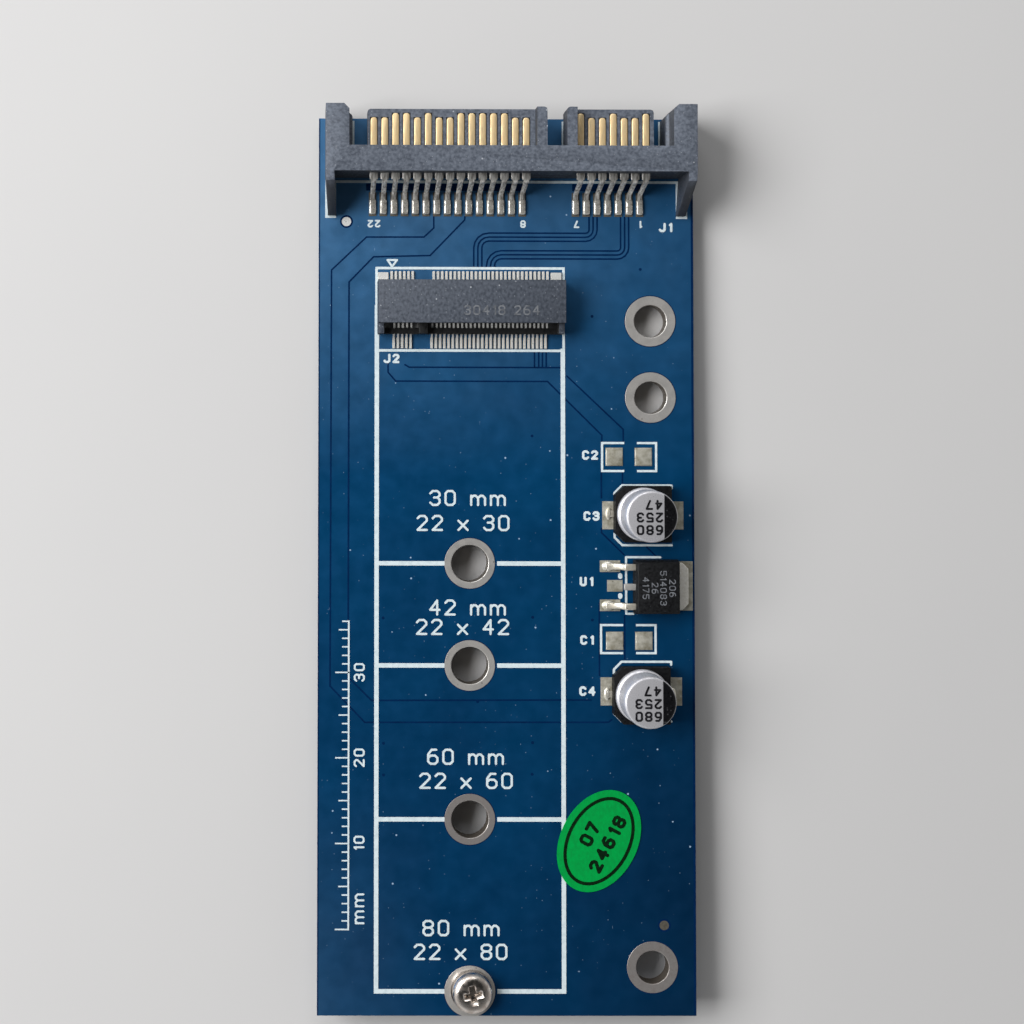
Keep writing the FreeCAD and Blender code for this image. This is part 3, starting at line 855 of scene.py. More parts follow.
def add_pillow(bm: Mesh, low: Sequence[float], high: Sequence[float], edge: float) -> None:
    """Add a box with rounded edges except round its foot, as a layer of solder sets.

    Args:
        bm: The mesh.
        low: Lowest corner.
        high: Highest corner.
        edge: Width of the rounding.
    """
    sides = dict.fromkeys(side for vert in add_box(bm, low, high) for side in vert.link_edges)
    middle = (low[2] + high[2]) / 2
    round_edges(bm, [side for side in sides if max(vert.co.z for vert in side.verts) > middle], edge, 3)


def add_dome(bm: Mesh, centre: Sequence[float], size: Triple, steps: int) -> None:
    """Add a flattened ball with some half sizes to a mesh, as molten metal sets."""
    place = placed(centre, size=size)
    bmesh.ops.create_uvsphere(bm, u_segments=steps, v_segments=DOME_RINGS, radius=1.0, matrix=place)


def add_turned(bm: Mesh, outline: Sequence[Point], spot: Point, steps: int = 64) -> None:
    """Add a shape that is turned about an upright axis.

    Args:
        bm: The mesh.
        outline: Radius and height of each corner, from end to end.
        spot: Place of the axis.
        steps: Faces round it.
    """
    x, y = spot
    corners = [bm.verts.new((x + radius, y, height)) for radius, height in outline]
    edges = [bm.edges.new(pair) for pair in zip(corners, corners[1:])]
    bmesh.ops.spin(
        bm, geom=corners + edges, cent=(x, y, 0), axis=(0, 0, 1), angle=math.tau, steps=steps, use_merge=True
    )
    bmesh.ops.remove_doubles(bm, verts=bm.verts, dist=TURNED_WELD)


def cut_off(bm: Mesh, at: Triple, outwards: Triple) -> None:
    """Cut a solid with a plane, drop what lies outside it and close the cut.

    Args:
        bm: The mesh.
        at: Point on the plane.
        outwards: Direction of the side that goes.
    """
    geometry = bm.verts[:] + bm.edges[:] + bm.faces[:]
    cut = bmesh.ops.bisect_plane(bm, geom=geometry, plane_co=at, plane_no=outwards, clear_outer=True)
    rim = [item for item in cut["geom_cut"] if isinstance(item, bmesh.types.BMEdge)]
    bmesh.ops.holes_fill(bm, edges=rim, sides=0)


def arc(spot: Point, radius: float, first: float, sweep: float, steps: int = 4) -> list[Point]:
    """Give points on an arc round a spot, from an angle in degrees over a sweep."""
    turns = [math.radians(first + sweep * step / steps) for step in range(steps + 1)]
    return [(spot[0] + radius * math.cos(turn), spot[1] + radius * math.sin(turn)) for turn in turns]


GLYPHS: dict[str, tuple[Run, ...]] = {
    "0": (((1, 0), (0, 1), (0, 5), (1, 6), (3, 6), (4, 5), (4, 1), (3, 0), (1, 0)),),
    "1": (((1, 5), (2, 6), (2, 0)),),
    "2": (((0, 5), (1, 6), (3, 6), (4, 5), (4, 4), (0, 0), (4, 0)),),
    "3": (
        ((0, 5), (1, 6), (3, 6), (4, 5), (4, 4), (3, 3.2), (1.6, 3.2), (3, 3.2), (4, 2.3), (4, 1), (3, 0),
         (1, 0), (0, 1)),
    ),
    "4": (((3, 0), (3, 6), (0, 2), (4, 2)),),
    "5": (((4, 6), (0, 6), (0, 3.5), (3, 3.5), (4, 2.5), (4, 1), (3, 0), (1, 0), (0, 1)),),
    "6": (
        ((3.5, 6), (1.5, 6), (0, 4), (0, 1), (1, 0), (3, 0), (4, 1), (4, 2.5), (3, 3.5), (1, 3.5), (0, 2.5)),
    ),
    "7": (((0, 6), (4, 6), (1.5, 0)),),
    "8": (
        ((1, 3.2), (0, 4.1), (0, 5.1), (1, 6), (3, 6), (4, 5.1), (4, 4.1), (3, 3.2), (1, 3.2)),
        ((1, 3.2), (0, 2.2), (0, 1), (1, 0), (3, 0), (4, 1), (4, 2.2), (3, 3.2)),
    ),
    "m": (
        ((0, 0), (0, 4)), ((0, 3), (1, 4), (2, 4), (3, 3), (3, 0)), ((3, 3), (4, 4), (5, 4), (6, 3), (6, 0)),
    ),
    "x": (((0, 0), (4, 4)), ((0, 4), (4, 0))),
    "C": (((4, 5), (3, 6), (1, 6), (0, 5), (0, 1), (1, 0), (3, 0), (4, 1)),),
    "J": (((4, 6), (4, 1), (3, 0), (1, 0), (0, 1)),),
    "U": (((0, 6), (0, 1), (1, 0), (3, 0), (4, 1), (4, 6)),),
    " ": (),
}
GLYPH_HEIGHT = 6
GLYPH_GAP = 1.6
SPACE_WIDTH = 2.0
PRINT_STEP = 0.0004
PRINT_LEVELS = 31


class Lettering(NamedTuple):
    """Height of a tall figure and width of its strokes, in millimetres."""

    height: float
    stroke: float


@dataclass
class FlatPrint:
    """Lines and figures that lie on a level face as one thin layer, placed from an end along Y."""

    level: float
    thickness: float = 0.03
    end: float = 0.0
    corner_steps: int = 12
    bm: Mesh = field(default_factory=bmesh.new)
    strokes: int = 0

    def depth(self) -> float:
        """Give the next stroke's whole depth, a hair apart so that no two tops lie in one plane."""
        self.strokes += 1
        return 2 * (self.thickness + PRINT_STEP * (self.strokes % PRINT_LEVELS))

    def at(self, x: float, y: float) -> Triple:
        """Give the place of a point on the face."""
        return (x, self.end + y, self.level)

    def line(self, points: Sequence[Point], width: float, rounded: bool = False) -> None:
        """Draw a run of straight strokes.

        Args:
            points: Corners of the run.
            width: Width of the strokes.
            rounded: Whether the ends and corners are round and not square.
        """
        for (x0, y0), (x1, y1) in zip(points, points[1:]):
            length = math.hypot(x1 - x0, y1 - y0)
            turn = math.degrees(math.atan2(y1 - y0, x1 - x0))
            size = (length if rounded else length + width, width, self.depth())
            spot = self.at((x0 + x1) / 2, (y0 + y1) / 2)
            bmesh.ops.create_cube(self.bm, matrix=placed(spot, turn, size))
        if rounded:
            for spot in points:
                self.dot(spot, width / 2, self.corner_steps)

    def dot(self, spot: Point, radius: float, steps: int = 24) -> None:
        """Draw a round dot."""
        bmesh.ops.create_cone(
            self.bm, cap_ends=True, segments=steps, radius1=radius, radius2=radius, depth=self.depth(),
            matrix=placed(self.at(*spot)),
        )

    def ring(self, spot: Point, inner: float, outer: float) -> None:
        """Draw a ring.

        Args:
            spot: Its middle.
            inner: Its inner radius.
            outer: Its outer radius.
        """
        low, high = self.level - self.thickness, self.level + self.thickness
        outline = ((inner, low), (outer, low), (outer, high), (inner, high), (inner, low))
        add_turned(self.bm, outline, self.at(*spot)[:2])

    def figures(self, text: str, spot: Point, style: Lettering, turn: float = 0.0) -> None:
        """Draw figures or short words with their middle at a point.

        Args:
            text: What to draw.
            spot: The point.
            style: Size of the figures.
            turn: Turn of the whole text in degrees.
        """
        unit = (style.height - style.stroke) / GLYPH_HEIGHT
        gap = GLYPH_GAP + style.stroke / unit
        widths = [max((px for run in GLYPHS[sign] for px, _ in run), default=SPACE_WIDTH) for sign in text]
        start = -(sum(widths) + gap * (len(text) - 1)) / 2
        place = placed((*spot, 0), turn, (unit, unit, 1.0))
        for sign, wide in zip(text, widths):
            for run in GLYPHS[sign]:
                spots = [place @ Vector((start + px, py - GLYPH_HEIGHT / 2, 0)) for px, py in run]
                self.line([(at.x, at.y) for at in spots], style.stroke, rounded=True)
            start += wide + gap

    def finish(self, name: str, finish: Finish, slot: Slot | None = None) -> bpy.types.Object:
        """Make the layer a piece of the board."""
        return make_piece(self.bm, name, finish, slot)


class Assembly(ABC):
    """A part of the scene that is built and then dressed."""

    @abstractmethod
    def build(self) -> None:
        """Make its pieces."""

    def dress(self) -> None:
        """Leave its CAD nodes as they are."""


@dataclass
class Board(Assembly):
    """The circuit board's faces, with its print and the gaps in its copper, placed from the board's end."""

    line: float = 0.52
    thin_line: float = 0.3
    part_line: float = 0.26
    frame_left: float = -15.33
    frame_right: float = 6.72
    frame_foot: float = 2.83
    frame_jog: float = 83.1
    jog_left: float = 0.05
    jog_right: float = 0.1
    socket_front: float = 77.99
    socket_rear: float = 87.77
    card_x: float = -4.33
    card_ring: float = 2.98
    card_rows: tuple[float, ...] = (52.83, 40.83, 22.83, 2.83)
    ring_clear: float = 0.25
    arrow: Run = ((-14.08, 88.73), (-12.95, 88.73), (-13.54, 87.95), (-14.08, 88.73))
    arrow_line: float = 0.24
    plug_feet: Run = (
        (-21.34, 98.06), (-21.34, 93.88), (-20.35, 93.88), (-20.35, 98.06),
        (20.36, 98.06), (20.36, 93.88), (21.4, 93.88), (21.4, 98.06),
    )
    plug_ticks: tuple[float, ...] = (-18.15, 6.75, 18.25)
    tick_span: Point = (105.2, 101.0)
    tick_line: float = 0.22
    empty_outlines: tuple[tuple[float, ...], ...] = (
        (11.35, 13.84, 15.62, 17.75, 63.77, 67.08), (11.17, 13.65, 15.43, 17.61, 42.32, 45.61),
    )
    can_outlines: tuple[Triple, ...] = ((12.81, 55.02, 62.08), (12.68, 34.32, 41.31))
    can_side: float = 6.75
    can_corner: float = 0.9
    can_hook: float = 0.35
    can_land: Point = (-1.6, 1.65)
    regulator_outline: Run = ((18.2, 53.6), (14.15, 53.6), (14.15, 46.95), (15.0, 46.95))
    lead_marks: Run = ((13.45, 51.38), (13.45, 49.03))
    lead_mark_half: float = 0.1
    lead_mark_line: float = 0.5
    sizes: tuple[tuple[int, Point, Point], ...] = (
        (30, (-4.58, 60.54), (-5.12, 57.59)), (42, (-4.59, 47.64), (-5.18, 45.35)),
        (60, (-4.83, 30.14), (-4.77, 27.33)), (80, (-5.36, 10.17), (-5.42, 7.41)),
    )
    size_style: Lettering = Lettering(1.9, 0.26)
    marks: tuple[tuple[str, Point], ...] = (
        ("C2", (9.93, 65.65)), ("C3", (10.08, 58.45)), ("U1", (9.47, 50.73)), ("C1", (9.52, 43.85)),
        ("C4", (9.54, 37.86)), ("J2", (-13.6, 77.03)), ("J1", (18.98, 92.7)),
    )
    mark_style: Lettering = Lettering(1.12, 0.28)
    pins: tuple[tuple[str, float], ...] = (("22", -15.69), ("8", 2.02), ("7", 8.39), ("1", 16.11))
    pin_row: float = 93.05
    pin_style: Lettering = Lettering(0.9, 0.2)
    scale_x: float = -18.6
    scale_first: float = 10.0
    scale_length: int = 36
    scale_lines: Point = (0.2, 0.16)
    scale_ticks: tuple[float, ...] = (1.5, 0.7, 0.7, 0.7, 0.7, 1.1, 0.7, 0.7, 0.7, 0.7)
    scale_numbers: tuple[int, ...] = (10, 20, 30)
    scale_aside: float = 1.25
    scale_style: Lettering = Lettering(1.3, 0.22)
    unit_place: Point = (1.1, 2.4)
    unit_style: Lettering = Lettering(1.6, 0.22)
    gap_width: float = 0.19
    gap_thickness: float = 0.008
    gap_runs: tuple[Run, ...] = (
        ((-8.59, 93.9), (-8.59, 92.56), (-9.75, 91.48), (-16.58, 91.46), (-20.73, 87.52), (-20.8, 38.39),
         (-16.7, 34.15), (12.0, 34.2), (12.4, 34.5)),
        ((-4.9, 93.9), (-4.93, 93.52), (-9.03, 89.28), (-15.74, 89.11), (-18.65, 86.1), (-18.68, 39.45),
         (-15.92, 36.72), (9.97, 36.81)),
        ((-14.01, 76.6), (-14.0, 75.4), (-13.1, 74.35), (4.9, 74.35), (11.32, 68.0), (11.32, 67.3)),
        ((-12.0, 76.3), (-11.5, 76.0), (6.4, 76.0)),
        ((7.2, 75.0), (13.86, 68.7), (13.86, 67.3)),
        ((11.25, 63.5), (11.25, 60.6)),
        ((13.75, 63.5), (13.75, 62.4)),
        ((11.25, 57.0), (11.25, 56.5), (13.9, 53.9)),
        ((16.6, 54.8), (17.6, 53.8)),
        ((10.97, 48.2), (10.97, 39.7)),
        ((13.96, 46.7), (13.96, 41.6)),
    )
    feed_lines: tuple[float, ...] = (3.36, 3.86, 4.3, 4.75)
    feed_span: Point = (77.8, 76.1)
    pairs: tuple[Triple, ...] = ((10.35, 91.5, -3.36), (14.1, 89.4, -1.85))
    pair_pitch: float = 0.48
    pair_top: float = 93.9
    pair_bends: Point = (0.9, 1.3)
    vias: Run = (
        (15.95, 87.7), (10.2, 82.1), (3.05, 67.9), (-14.56, 46.4), (3.1, 46.5), (10.15, 46.2), (-14.5, 31.7),
        (3.06, 31.8), (-14.5, 28.0), (3.0, 28.1), (-3.4, 36.6),
    )
    via_radius: float = 0.17
    right_band: float = 0.26
    left_band: float = 0.12
    band_inset: float = 0.02
    # Painted shadow of the plug's bar: rows, width and height of dark strips between its tails.
    tail_rows: tuple[Point, ...] = ((-16.2, 2.0), (8.3, 16.2))
    tail_gap: float = 0.85
    tail_gap_up: float = 97.42
    dots: tuple[tuple[str, Point, Finish], ...] = (
        ("upper", (-18.96, 93.3), TAIL_TIN), ("lower", (18.5, 10.5), DARK_TIN),
    )
    dot_radius: float = 0.55
    dot_steps: int = 40
    dot_clear: float = 0.22
    dot_thickness: float = 0.012
    clear_thickness: float = 0.009

    def layer(self, thickness: float = 0.03) -> FlatPrint:
        """Start a layer on the board's face."""
        return FlatPrint(BOARD_BOX.high.z, thickness, BOARD_BOX.low.y)

    def build(self) -> None:
        """Make the print, the gaps and the alignment dots."""
        outlines = self.layer()
        self.print_frame(outlines)
        self.print_parts(outlines)
        outlines.finish("board_outlines", WHITE_INK)
        figures = self.layer()
        self.print_figures(figures)
        self.print_scale(figures)
        figures.finish("board_figures", WHITE_INK)
        self.cut_gaps()
        self.set_dots()

    def dress(self) -> None:
        """Give the board its mask."""
        dress(MASK, "circuit_board")

    def print_frame(self, ink: FlatPrint) -> None:
        """Print the outlines of the card, the socket and the plug.

        Args:
            ink: Layer that takes them.
        """
        for x, head in ((self.frame_left, self.frame_jog), (self.frame_right, self.socket_front)):
            ink.line([(x, head), (x, self.frame_foot)], self.line)
        left, right = self.frame_left - self.jog_left, self.frame_right + self.jog_right
        front, rear = self.socket_front, self.socket_rear
        ink.line([(left, self.frame_jog), (left, rear), (right, rear), (right, front)], self.thin_line)
        ink.line([(left, front), (right, front)], self.thin_line)
        reach = self.card_ring + self.line / 2
        for row in self.card_rows:
            ink.line([(self.frame_left, row), (self.card_x - reach, row)], self.line)
            ink.line([(self.card_x + reach + self.ring_clear, row), (self.frame_right, row)], self.line)
        ink.line(self.arrow, self.arrow_line, rounded=True)
        ink.line(self.plug_feet, self.thin_line)
        for x in self.plug_ticks:
            ink.line([(x, up) for up in self.tick_span], self.tick_line)

    def print_parts(self, ink: FlatPrint) -> None:
        """Print the outlines of the power supply's parts.

        Args:
            ink: Layer that takes them.
        """
        for x0, x1, x2, x3, foot, head in self.empty_outlines:
            for end, side in ((x1, x0), (x2, x3)):
                ink.line([(end, head), (side, head), (side, foot), (end, foot)], self.part_line)
        corner = self.can_corner
        for x, foot, head in self.can_outlines:
            side = x + self.can_side
            low, high = ((foot + head) / 2 + reach for reach in self.can_land)
            hook = [(side, head - self.can_hook), (side, head)]
            upper = [(x + corner, head), (x, head - corner), (x, high)]
            lower = [(x, low), (x, foot + corner), (x + corner, foot), (side, foot)]
            for run in (hook + upper, lower):
                ink.line(run, self.part_line, rounded=True)
        ink.line(self.regulator_outline, self.part_line, rounded=True)
        for x, up in self.lead_marks:
            ends = [(x, up - self.lead_mark_half), (x, up + self.lead_mark_half)]
            ink.line(ends, self.lead_mark_line, rounded=True)

    def print_figures(self, ink: FlatPrint) -> None:
        """Print the card sizes and the marks beside the parts.

        Args:
            ink: Layer that takes them.
        """
        for size, *spots in self.sizes:
            for text, spot in zip((f"{size} mm", f"22 x {size}"), spots):
                ink.figures(text, spot, self.size_style)
        for text, spot in self.marks:
            ink.figures(text, spot, self.mark_style)
        for text, x in self.pins:
            ink.figures(text, (x, self.pin_row), self.pin_style, turn=180)

    def print_scale(self, ink: FlatPrint) -> None:
        """Print a plain millimetre scale along the left side.

        Args:
            ink: Layer that takes it.
        """
        x, first = self.scale_x, self.scale_first
        spine, tick = self.scale_lines
        ink.line([(x, first), (x, first + self.scale_length)], spine)
        for count in range(self.scale_length + 1):
            length = self.scale_ticks[count % len(self.scale_ticks)]
            ink.line([(x, first + count), (x - length, first + count)], tick)
        for count in self.scale_numbers:
            ink.figures(str(count), (x + self.scale_aside, first + count), self.scale_style, turn=90)
        aside, up = self.unit_place
        ink.figures("mm", (x + aside, first + up), self.unit_style, turn=90)

    def cut_gaps(self) -> None:
        """Show the gaps in the copper under the mask, the filled through-holes, and painted shadow between
        the plug's tails.
        """
        gap = self.layer(self.gap_thickness)
        feeds = tuple(tuple((x, up) for up in self.feed_span) for x in self.feed_lines)
        for run in self.gap_runs + feeds:
            gap.line(run, self.gap_width, rounded=True)
        for top_x, level, foot_x in self.pairs:
            for shift in (-self.pair_pitch, 0.0, self.pair_pitch):
                self.draw_pair_edge(gap, top_x + shift, level - shift, foot_x + shift, shift)
        for spot in self.vias:
            gap.dot(spot, self.via_radius)
        for x, width in ((BOARD_BOX.high.x, self.right_band), (BOARD_BOX.low.x, -self.left_band)):
            inset = x - width / 2 - math.copysign(self.band_inset, width)
            wide = abs(width)
            gap.line([(inset, wide), (inset, BOARD_BOX.size.y - wide)], wide)
        # Painted shadow: dark strips between the plug's tails.
        for row in self.tail_rows:
            gap.line([(x, self.tail_gap_up) for x in row], self.tail_gap)
        gap.finish("copper_gaps_and_tail_shadow", GAP_AND_SHADOW, Slot.MASK)

    def draw_pair_edge(self, gap: FlatPrint, top_x: float, level: float, foot_x: float, shift: float) -> None:
        """Draw one edge of a pair of tracks from the plug to the socket.

        Args:
            gap: Layer that takes it.
            top_x: Place of its upper run.
            level: Height of its level run.
            foot_x: Place of its lower run.
            shift: How far it lies to the outside of the upper bend.
        """
        upper, lower = self.pair_bends[0] + shift, self.pair_bends[1] - shift
        run = [(top_x, self.pair_top)]
        run += arc((top_x - upper, level + upper), upper, 0, -90)
        run += arc((foot_x + lower, level - lower), lower, 90, 90)
        run.append((foot_x, self.socket_rear))
        gap.line(run, self.gap_width, rounded=True)

    def set_dots(self) -> None:
        """Set the two bare alignment dots and the dark clearance round them."""
        clear = self.layer(self.clear_thickness)
        for name, spot, finish in self.dots:
            clear.ring(spot, self.dot_radius, self.dot_radius + self.dot_clear)
            bare = self.layer(self.dot_thickness)
            bare.dot(spot, self.dot_radius, self.dot_steps)
            bare.finish(f"alignment_dot_{name}", finish, Slot.TINNED)
        clear.finish("alignment_clearance", GAP_AND_SHADOW, Slot.MASK)


@dataclass
class PlatedHole(Assembly):
    """A plated hole with a flat ring on each face and a rounded bore rim."""

    node: str
    bore: float
    lower_ring: bool = True
    finish: Finish = RING_TIN
    rim: float = 0.12
    rim_curve: Run = ((0.0, 1.0), (0.1, 0.55), (0.4, 0.15), (1.0, 0.0), (1.3, 0.0))
    foot_rim: float = 0.08
    ring_edge: float = 0.03
    ring_flat: float = 0.08
    low_edge: float = 0.02
    wall: float = 0.1
    plate: float = 0.05
    clear: float = 0.09
    clear_thickness: float = 0.009

    def build(self) -> None:
        """Turn the sleeve and the dark line round it."""
        box = node_box(self.node)
        low, high = BOARD_BOX.low.z, BOARD_BOX.high.z
        top, inner, outer = box.high.z, self.bore / 2, box.size.x / 2
        spot = (box.middle.x, box.high.y - outer)
        foot = low - self.plate if self.lower_ring else low
        wall, edge = inner + self.wall, self.ring_edge
        outline = [(inner, foot + self.foot_rim)]
        outline += [(inner + out * self.rim, top - down * self.rim) for out, down in self.rim_curve]
        outline += [(outer - self.ring_flat, top), (outer - edge, top), (outer, top - edge)]
        outline += [(outer, high), (wall, high), (wall, low)]
        if self.lower_ring:
            outline += [(outer, low), (outer, foot + self.low_edge), (outer - self.low_edge, foot)]
        outline += [(inner + self.foot_rim, foot), (inner, foot + self.foot_rim)]
        bm = bmesh.new()
        add_turned(bm, outline, spot)
        clearance = FlatPrint(high, self.clear_thickness)
        clearance.ring(spot, outer, outer + self.clear)
        if spot[1] - outer < BOARD_BOX.low.y:
            for mesh in (bm, clearance.bm):
                cut_off(mesh, (0, BOARD_BOX.low.y, 0), (0, -1, 0))
        clearance.finish(f"{self.node}_clearance", GAP_AND_SHADOW, Slot.MASK)
        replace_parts(make_piece(bm, f"{self.node}_turned", self.finish, Slot.TINNED), self.node)


@dataclass
class DrivePlug(Assembly):
    """The keyed plug with its formed contacts and soldered tails."""

    edge: float = 0.12
    least_edge: float = 0.35
    contact_edge: float = 0.09
    least_contact_edge: float = 0.15
    power_count: int = 15
    signal_count: int = 7
    bar_back: float = 45.34
    bar_front: float = 48.32
    bar_room: float = 0.01
    leg_half: float = 0.32
    head_share: float = 1.12
    finger_share: float = 0.9
    bead_width: float = 0.8
    bead_height: float = 0.32
    bead_length: float = 1.75
    bead_over: float = 0.05
    bead_edge: float = 0.2

    def contacts(self) -> list[str]:
        """Name the contact nodes."""
        power = [f"power_contact_{number:02d}" for number in range(1, self.power_count + 1)]
        return power + [f"signal_contact_{number}" for number in range(1, self.signal_count + 1)]

    def build(self) -> None:
        """Round the housing and the contacts, and set the solder on the tails."""
        soften("drive_plug_housing", self.edge, PLUG_PLASTIC, Slot.PLUG, self.least_edge)
        for node in self.contacts():
            soften(
                node, self.contact_edge, CONTACT, Slot.GOLD, self.least_contact_edge, form=self.form_contact
            )
        self.solder()

    def form_contact(self, bm: Mesh) -> None:
        """Widen a contact's head behind the bar, and narrow its finger in front of it.

        Args:
            bm: Copy of the contact.
        """
        for y in (self.bar_back, self.bar_front):
            geometry = bm.verts[:] + bm.edges[:] + bm.faces[:]
            bmesh.ops.bisect_plane(bm, geom=geometry, plane_co=(0, y, 0), plane_no=(0, 1, 0))
        sides = [vert.co.x for vert in bm.verts]
        middle = (min(sides) + max(sides)) / 2
        back, front = self.bar_back + self.bar_room, self.bar_front - self.bar_room
        head = [v for v in bm.verts if v.co.y < back and abs(v.co.x - middle) > self.leg_half]
        finger = [v for v in bm.verts if v.co.y > front]
        for share, verts in ((self.head_share, head), (self.finger_share, finger)):
            bmesh.ops.scale(bm, vec=(share, 1.0, 1.0), space=Matrix.Translation((-middle, 0, 0)), verts=verts)

    def solder(self) -> None:
        """Set a bead of solder over each tail's end."""
        bm = bmesh.new()
        land_top = node_box("drive_plug_lands").high.z
        half = self.bead_width / 2
        for node in self.contacts():
            box = node_box(node)
            foot = (box.middle.x - half, box.low.y - self.bead_over, land_top - SINK)
            top = (box.middle.x + half, box.low.y + self.bead_length, land_top + self.bead_height)
            add_pillow(bm, foot, top, self.bead_edge)
        make_piece(bm, "drive_plug_solder", BEAD, Slot.TINNED, SOLDER_CREASE)

    def dress(self) -> None:
        """Give the lands their dull tin."""
        dress(DARK_TIN, "drive_plug_lands")


@dataclass
class CardSocket(Assembly):
    """The card-edge socket with its two rows of tails on their lands."""

    edge: float = 0.06
    least_edge: float = 0.2
    lip_depth: float = 0.7
    lip_height: float = 0.08
    floor_height: float = 1.05
    ear_width: float = 0.75
    land_side: float = 0.06
    land_over: float = 0.02
    land_length: float = 1.3
    land_height: float = 0.05
    bead_back: float = 0.3
    bead_half: float = 0.28
    bead_height: float = 0.14
    bead_steps: int = 8
    mark: str = "30418 264"
    mark_place: Point = (-0.9, 29.4)
    mark_style: Lettering = Lettering(1.15, 0.17)
    mark_thickness: float = 0.01

    def build(self) -> None:
        """Round the housing, close its front lip, number its top and set the lands and the solder."""
        soften("card_socket_housing", self.edge, SOCKET_PLASTIC, Slot.SOCKET, self.least_edge)
        low, high = node_box("card_socket_housing")
        floor = BOARD_BOX.high.z + self.floor_height
        lip = bmesh.new()
        add_box(
            lip, (low.x + self.ear_width, low.y, floor - self.lip_height),
            (high.x - self.ear_width, low.y + self.lip_depth, floor + SINK),
        )
        make_piece(lip, "card_socket_lip", SOCKET_PLASTIC, Slot.SOCKET)
        number = FlatPrint(high.z, self.mark_thickness)
        number.figures(self.mark, self.mark_place, self.mark_style)
        number.finish("card_socket_number", GREY_INK)
        self.solder()

    def solder(self) -> None:
        """Set a land under each tail and hold-down, and a bead of solder on each tail."""
        board_top = BOARD_BOX.high.z
        land_top = board_top + self.land_height
        lands, beads = bmesh.new(), bmesh.new()
        rear, front = islands("card_socket_upper_contacts"), islands("card_socket_lower_contacts")
        tabs = [node_box(f"card_socket_hold_down_{side.value}") for side in Side]
        ends = [(box, box.high.y - self.land_over - self.land_length) for box in rear + tabs]
        ends += [(box, box.low.y - self.land_over) for box in front]
        for (low, high), y in ends:
            foot = (low.x - self.land_side, y, board_top - SINK)
            add_box(lands, foot, (high.x + self.land_side, y + self.land_length, land_top))
        ends = [(box, box.high.y - self.bead_back) for box in rear]
        ends += [(box, box.low.y + self.bead_back) for box in front]
        for box, y in ends:
            size = (box.size.x / 2, self.bead_half, self.bead_height)
            add_dome(beads, (box.middle.x, y, land_top), size, self.bead_steps)
        make_piece(lands, "card_socket_lands", SOLDER, Slot.TINNED)
        make_piece(beads, "card_socket_solder", TAIL_TIN, Slot.TINNED, SOLDER_CREASE)

    def dress(self) -> None:
        """Plate the contacts and the hold-downs."""
        for name in ("upper_contacts", "lower_contacts", "hold_down_left", "hold_down_right"):
            dress(TAIL_TIN, f"card_socket_{name}")


@dataclass
class SupplyCapacitor(Assembly):
    """A can capacitor on its moulded base, with a marked top."""

    name: str
    rows: tuple[tuple[str, float, float], ...] = (
        ("47", 0.2, 1.36), ("253", -0.28, -0.08), ("680", -0.28, -1.52),
    )
    row_style: Lettering = Lettering(1.15, 0.23)
    base_edge: float = 0.15
    foot_edge: float = 0.1
    bulge: float = 0.55
    bulge_curve: Run = ((0.0, 0.2), (0.06, 0.06), (0.2, 0.0))
    waist: float = 0.42
    waist_slope: float = 0.12
    upper_inset: float = 0.16
    upper_curve: Run = ((0.05, 0.0), (0.0, 0.14))
    neck: float = 0.34
    crown: float = 0.34
    crown_curve: Run = ((0.0, 1.0), (0.08, 0.62), (0.29, 0.29), (0.62, 0.08), (1.0, 0.0))
    can_steps: int = 96
    ink: float = 0.02
    ink_room: float = 0.05
    mark_from_middle: float = 1.38
    mark_drop: float = 0.1
    solder_size: Triple = (0.42, 0.75, 0.2)
    solder_steps: int = 14

    def build(self) -> None:
        """Round the base, turn the can, print its top and set the solder."""
        soften(f"{self.name}_base", self.base_edge, BASE_PLASTIC, Slot.BASE)
        box = node_box(f"{self.name}_can")
        top = box.high.z - self.ink_room
        self.turn_can(box, top)
        mark = FlatPrint(top, self.ink)
        for text, aside, up in self.rows:
            mark.figures(text, (box.middle.x + aside, box.middle.y + up), self.row_style, turn=180)
        mark.finish(f"{self.name}_mark", BLACK_INK)
        self.solder()

    def turn_can(self, box: Box, top: float) -> None:
        """Turn the can with its neck and rounded crown.

        Args:
            box: Box of the can's node.
            top: Height of its top.
        """
        radius, foot = box.size.x / 2, box.low.z
        shoulder = node_box(f"{self.name}_base").high.z + self.bulge
        above, slope = shoulder + self.waist, self.waist_slope
        upper, throat = radius - self.upper_inset, radius - self.neck
        outline = [(0, foot), (radius - self.foot_edge, foot), (radius, foot + self.foot_edge)]
        outline += [(radius - inset, shoulder - drop) for inset, drop in self.bulge_curve]
        outline += [(throat, shoulder + slope), (throat, above - slope)]
        outline += [(upper - inset, above + rise) for inset, rise in self.upper_curve]
        outline += [(upper - inset * self.crown, top - drop * self.crown) for inset, drop in self.crown_curve]
        outline.append((0, top))
        bm = bmesh.new()
        add_turned(bm, outline, (box.middle.x, box.middle.y), self.can_steps)
        line = box.middle.x + self.mark_from_middle
        finish = replace(CAN_METAL, name=f"{self.name}_aluminium", line=line, foot=top - self.mark_drop)
        can = make_piece(bm, f"{self.name}_can_turned", finish, Slot.CAN, TURNED_CREASE)
        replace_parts(can, f"{self.name}_can")

    def solder(self) -> None:
        """Set the solder between each terminal and its land."""
        bm = bmesh.new()
        for side in Side:
            box = node_box(f"{self.name}_terminal_{side.value}")
            end = box.low.x if side is Side.LEFT else box.high.x
            add_dome(bm, (end, box.middle.y, box.low.z), self.solder_size, self.solder_steps)
        make_piece(bm, f"{self.name}_solder", SOLDER, Slot.TINNED, SOLDER_CREASE)

    def dress(self) -> None:
        """Plate the terminals and the lands."""
        dress(LEAD_TIN, *(f"{self.name}_terminal_{side.value}" for side in Side))
        dress(PAD_TIN, f"{self.name}_lands")


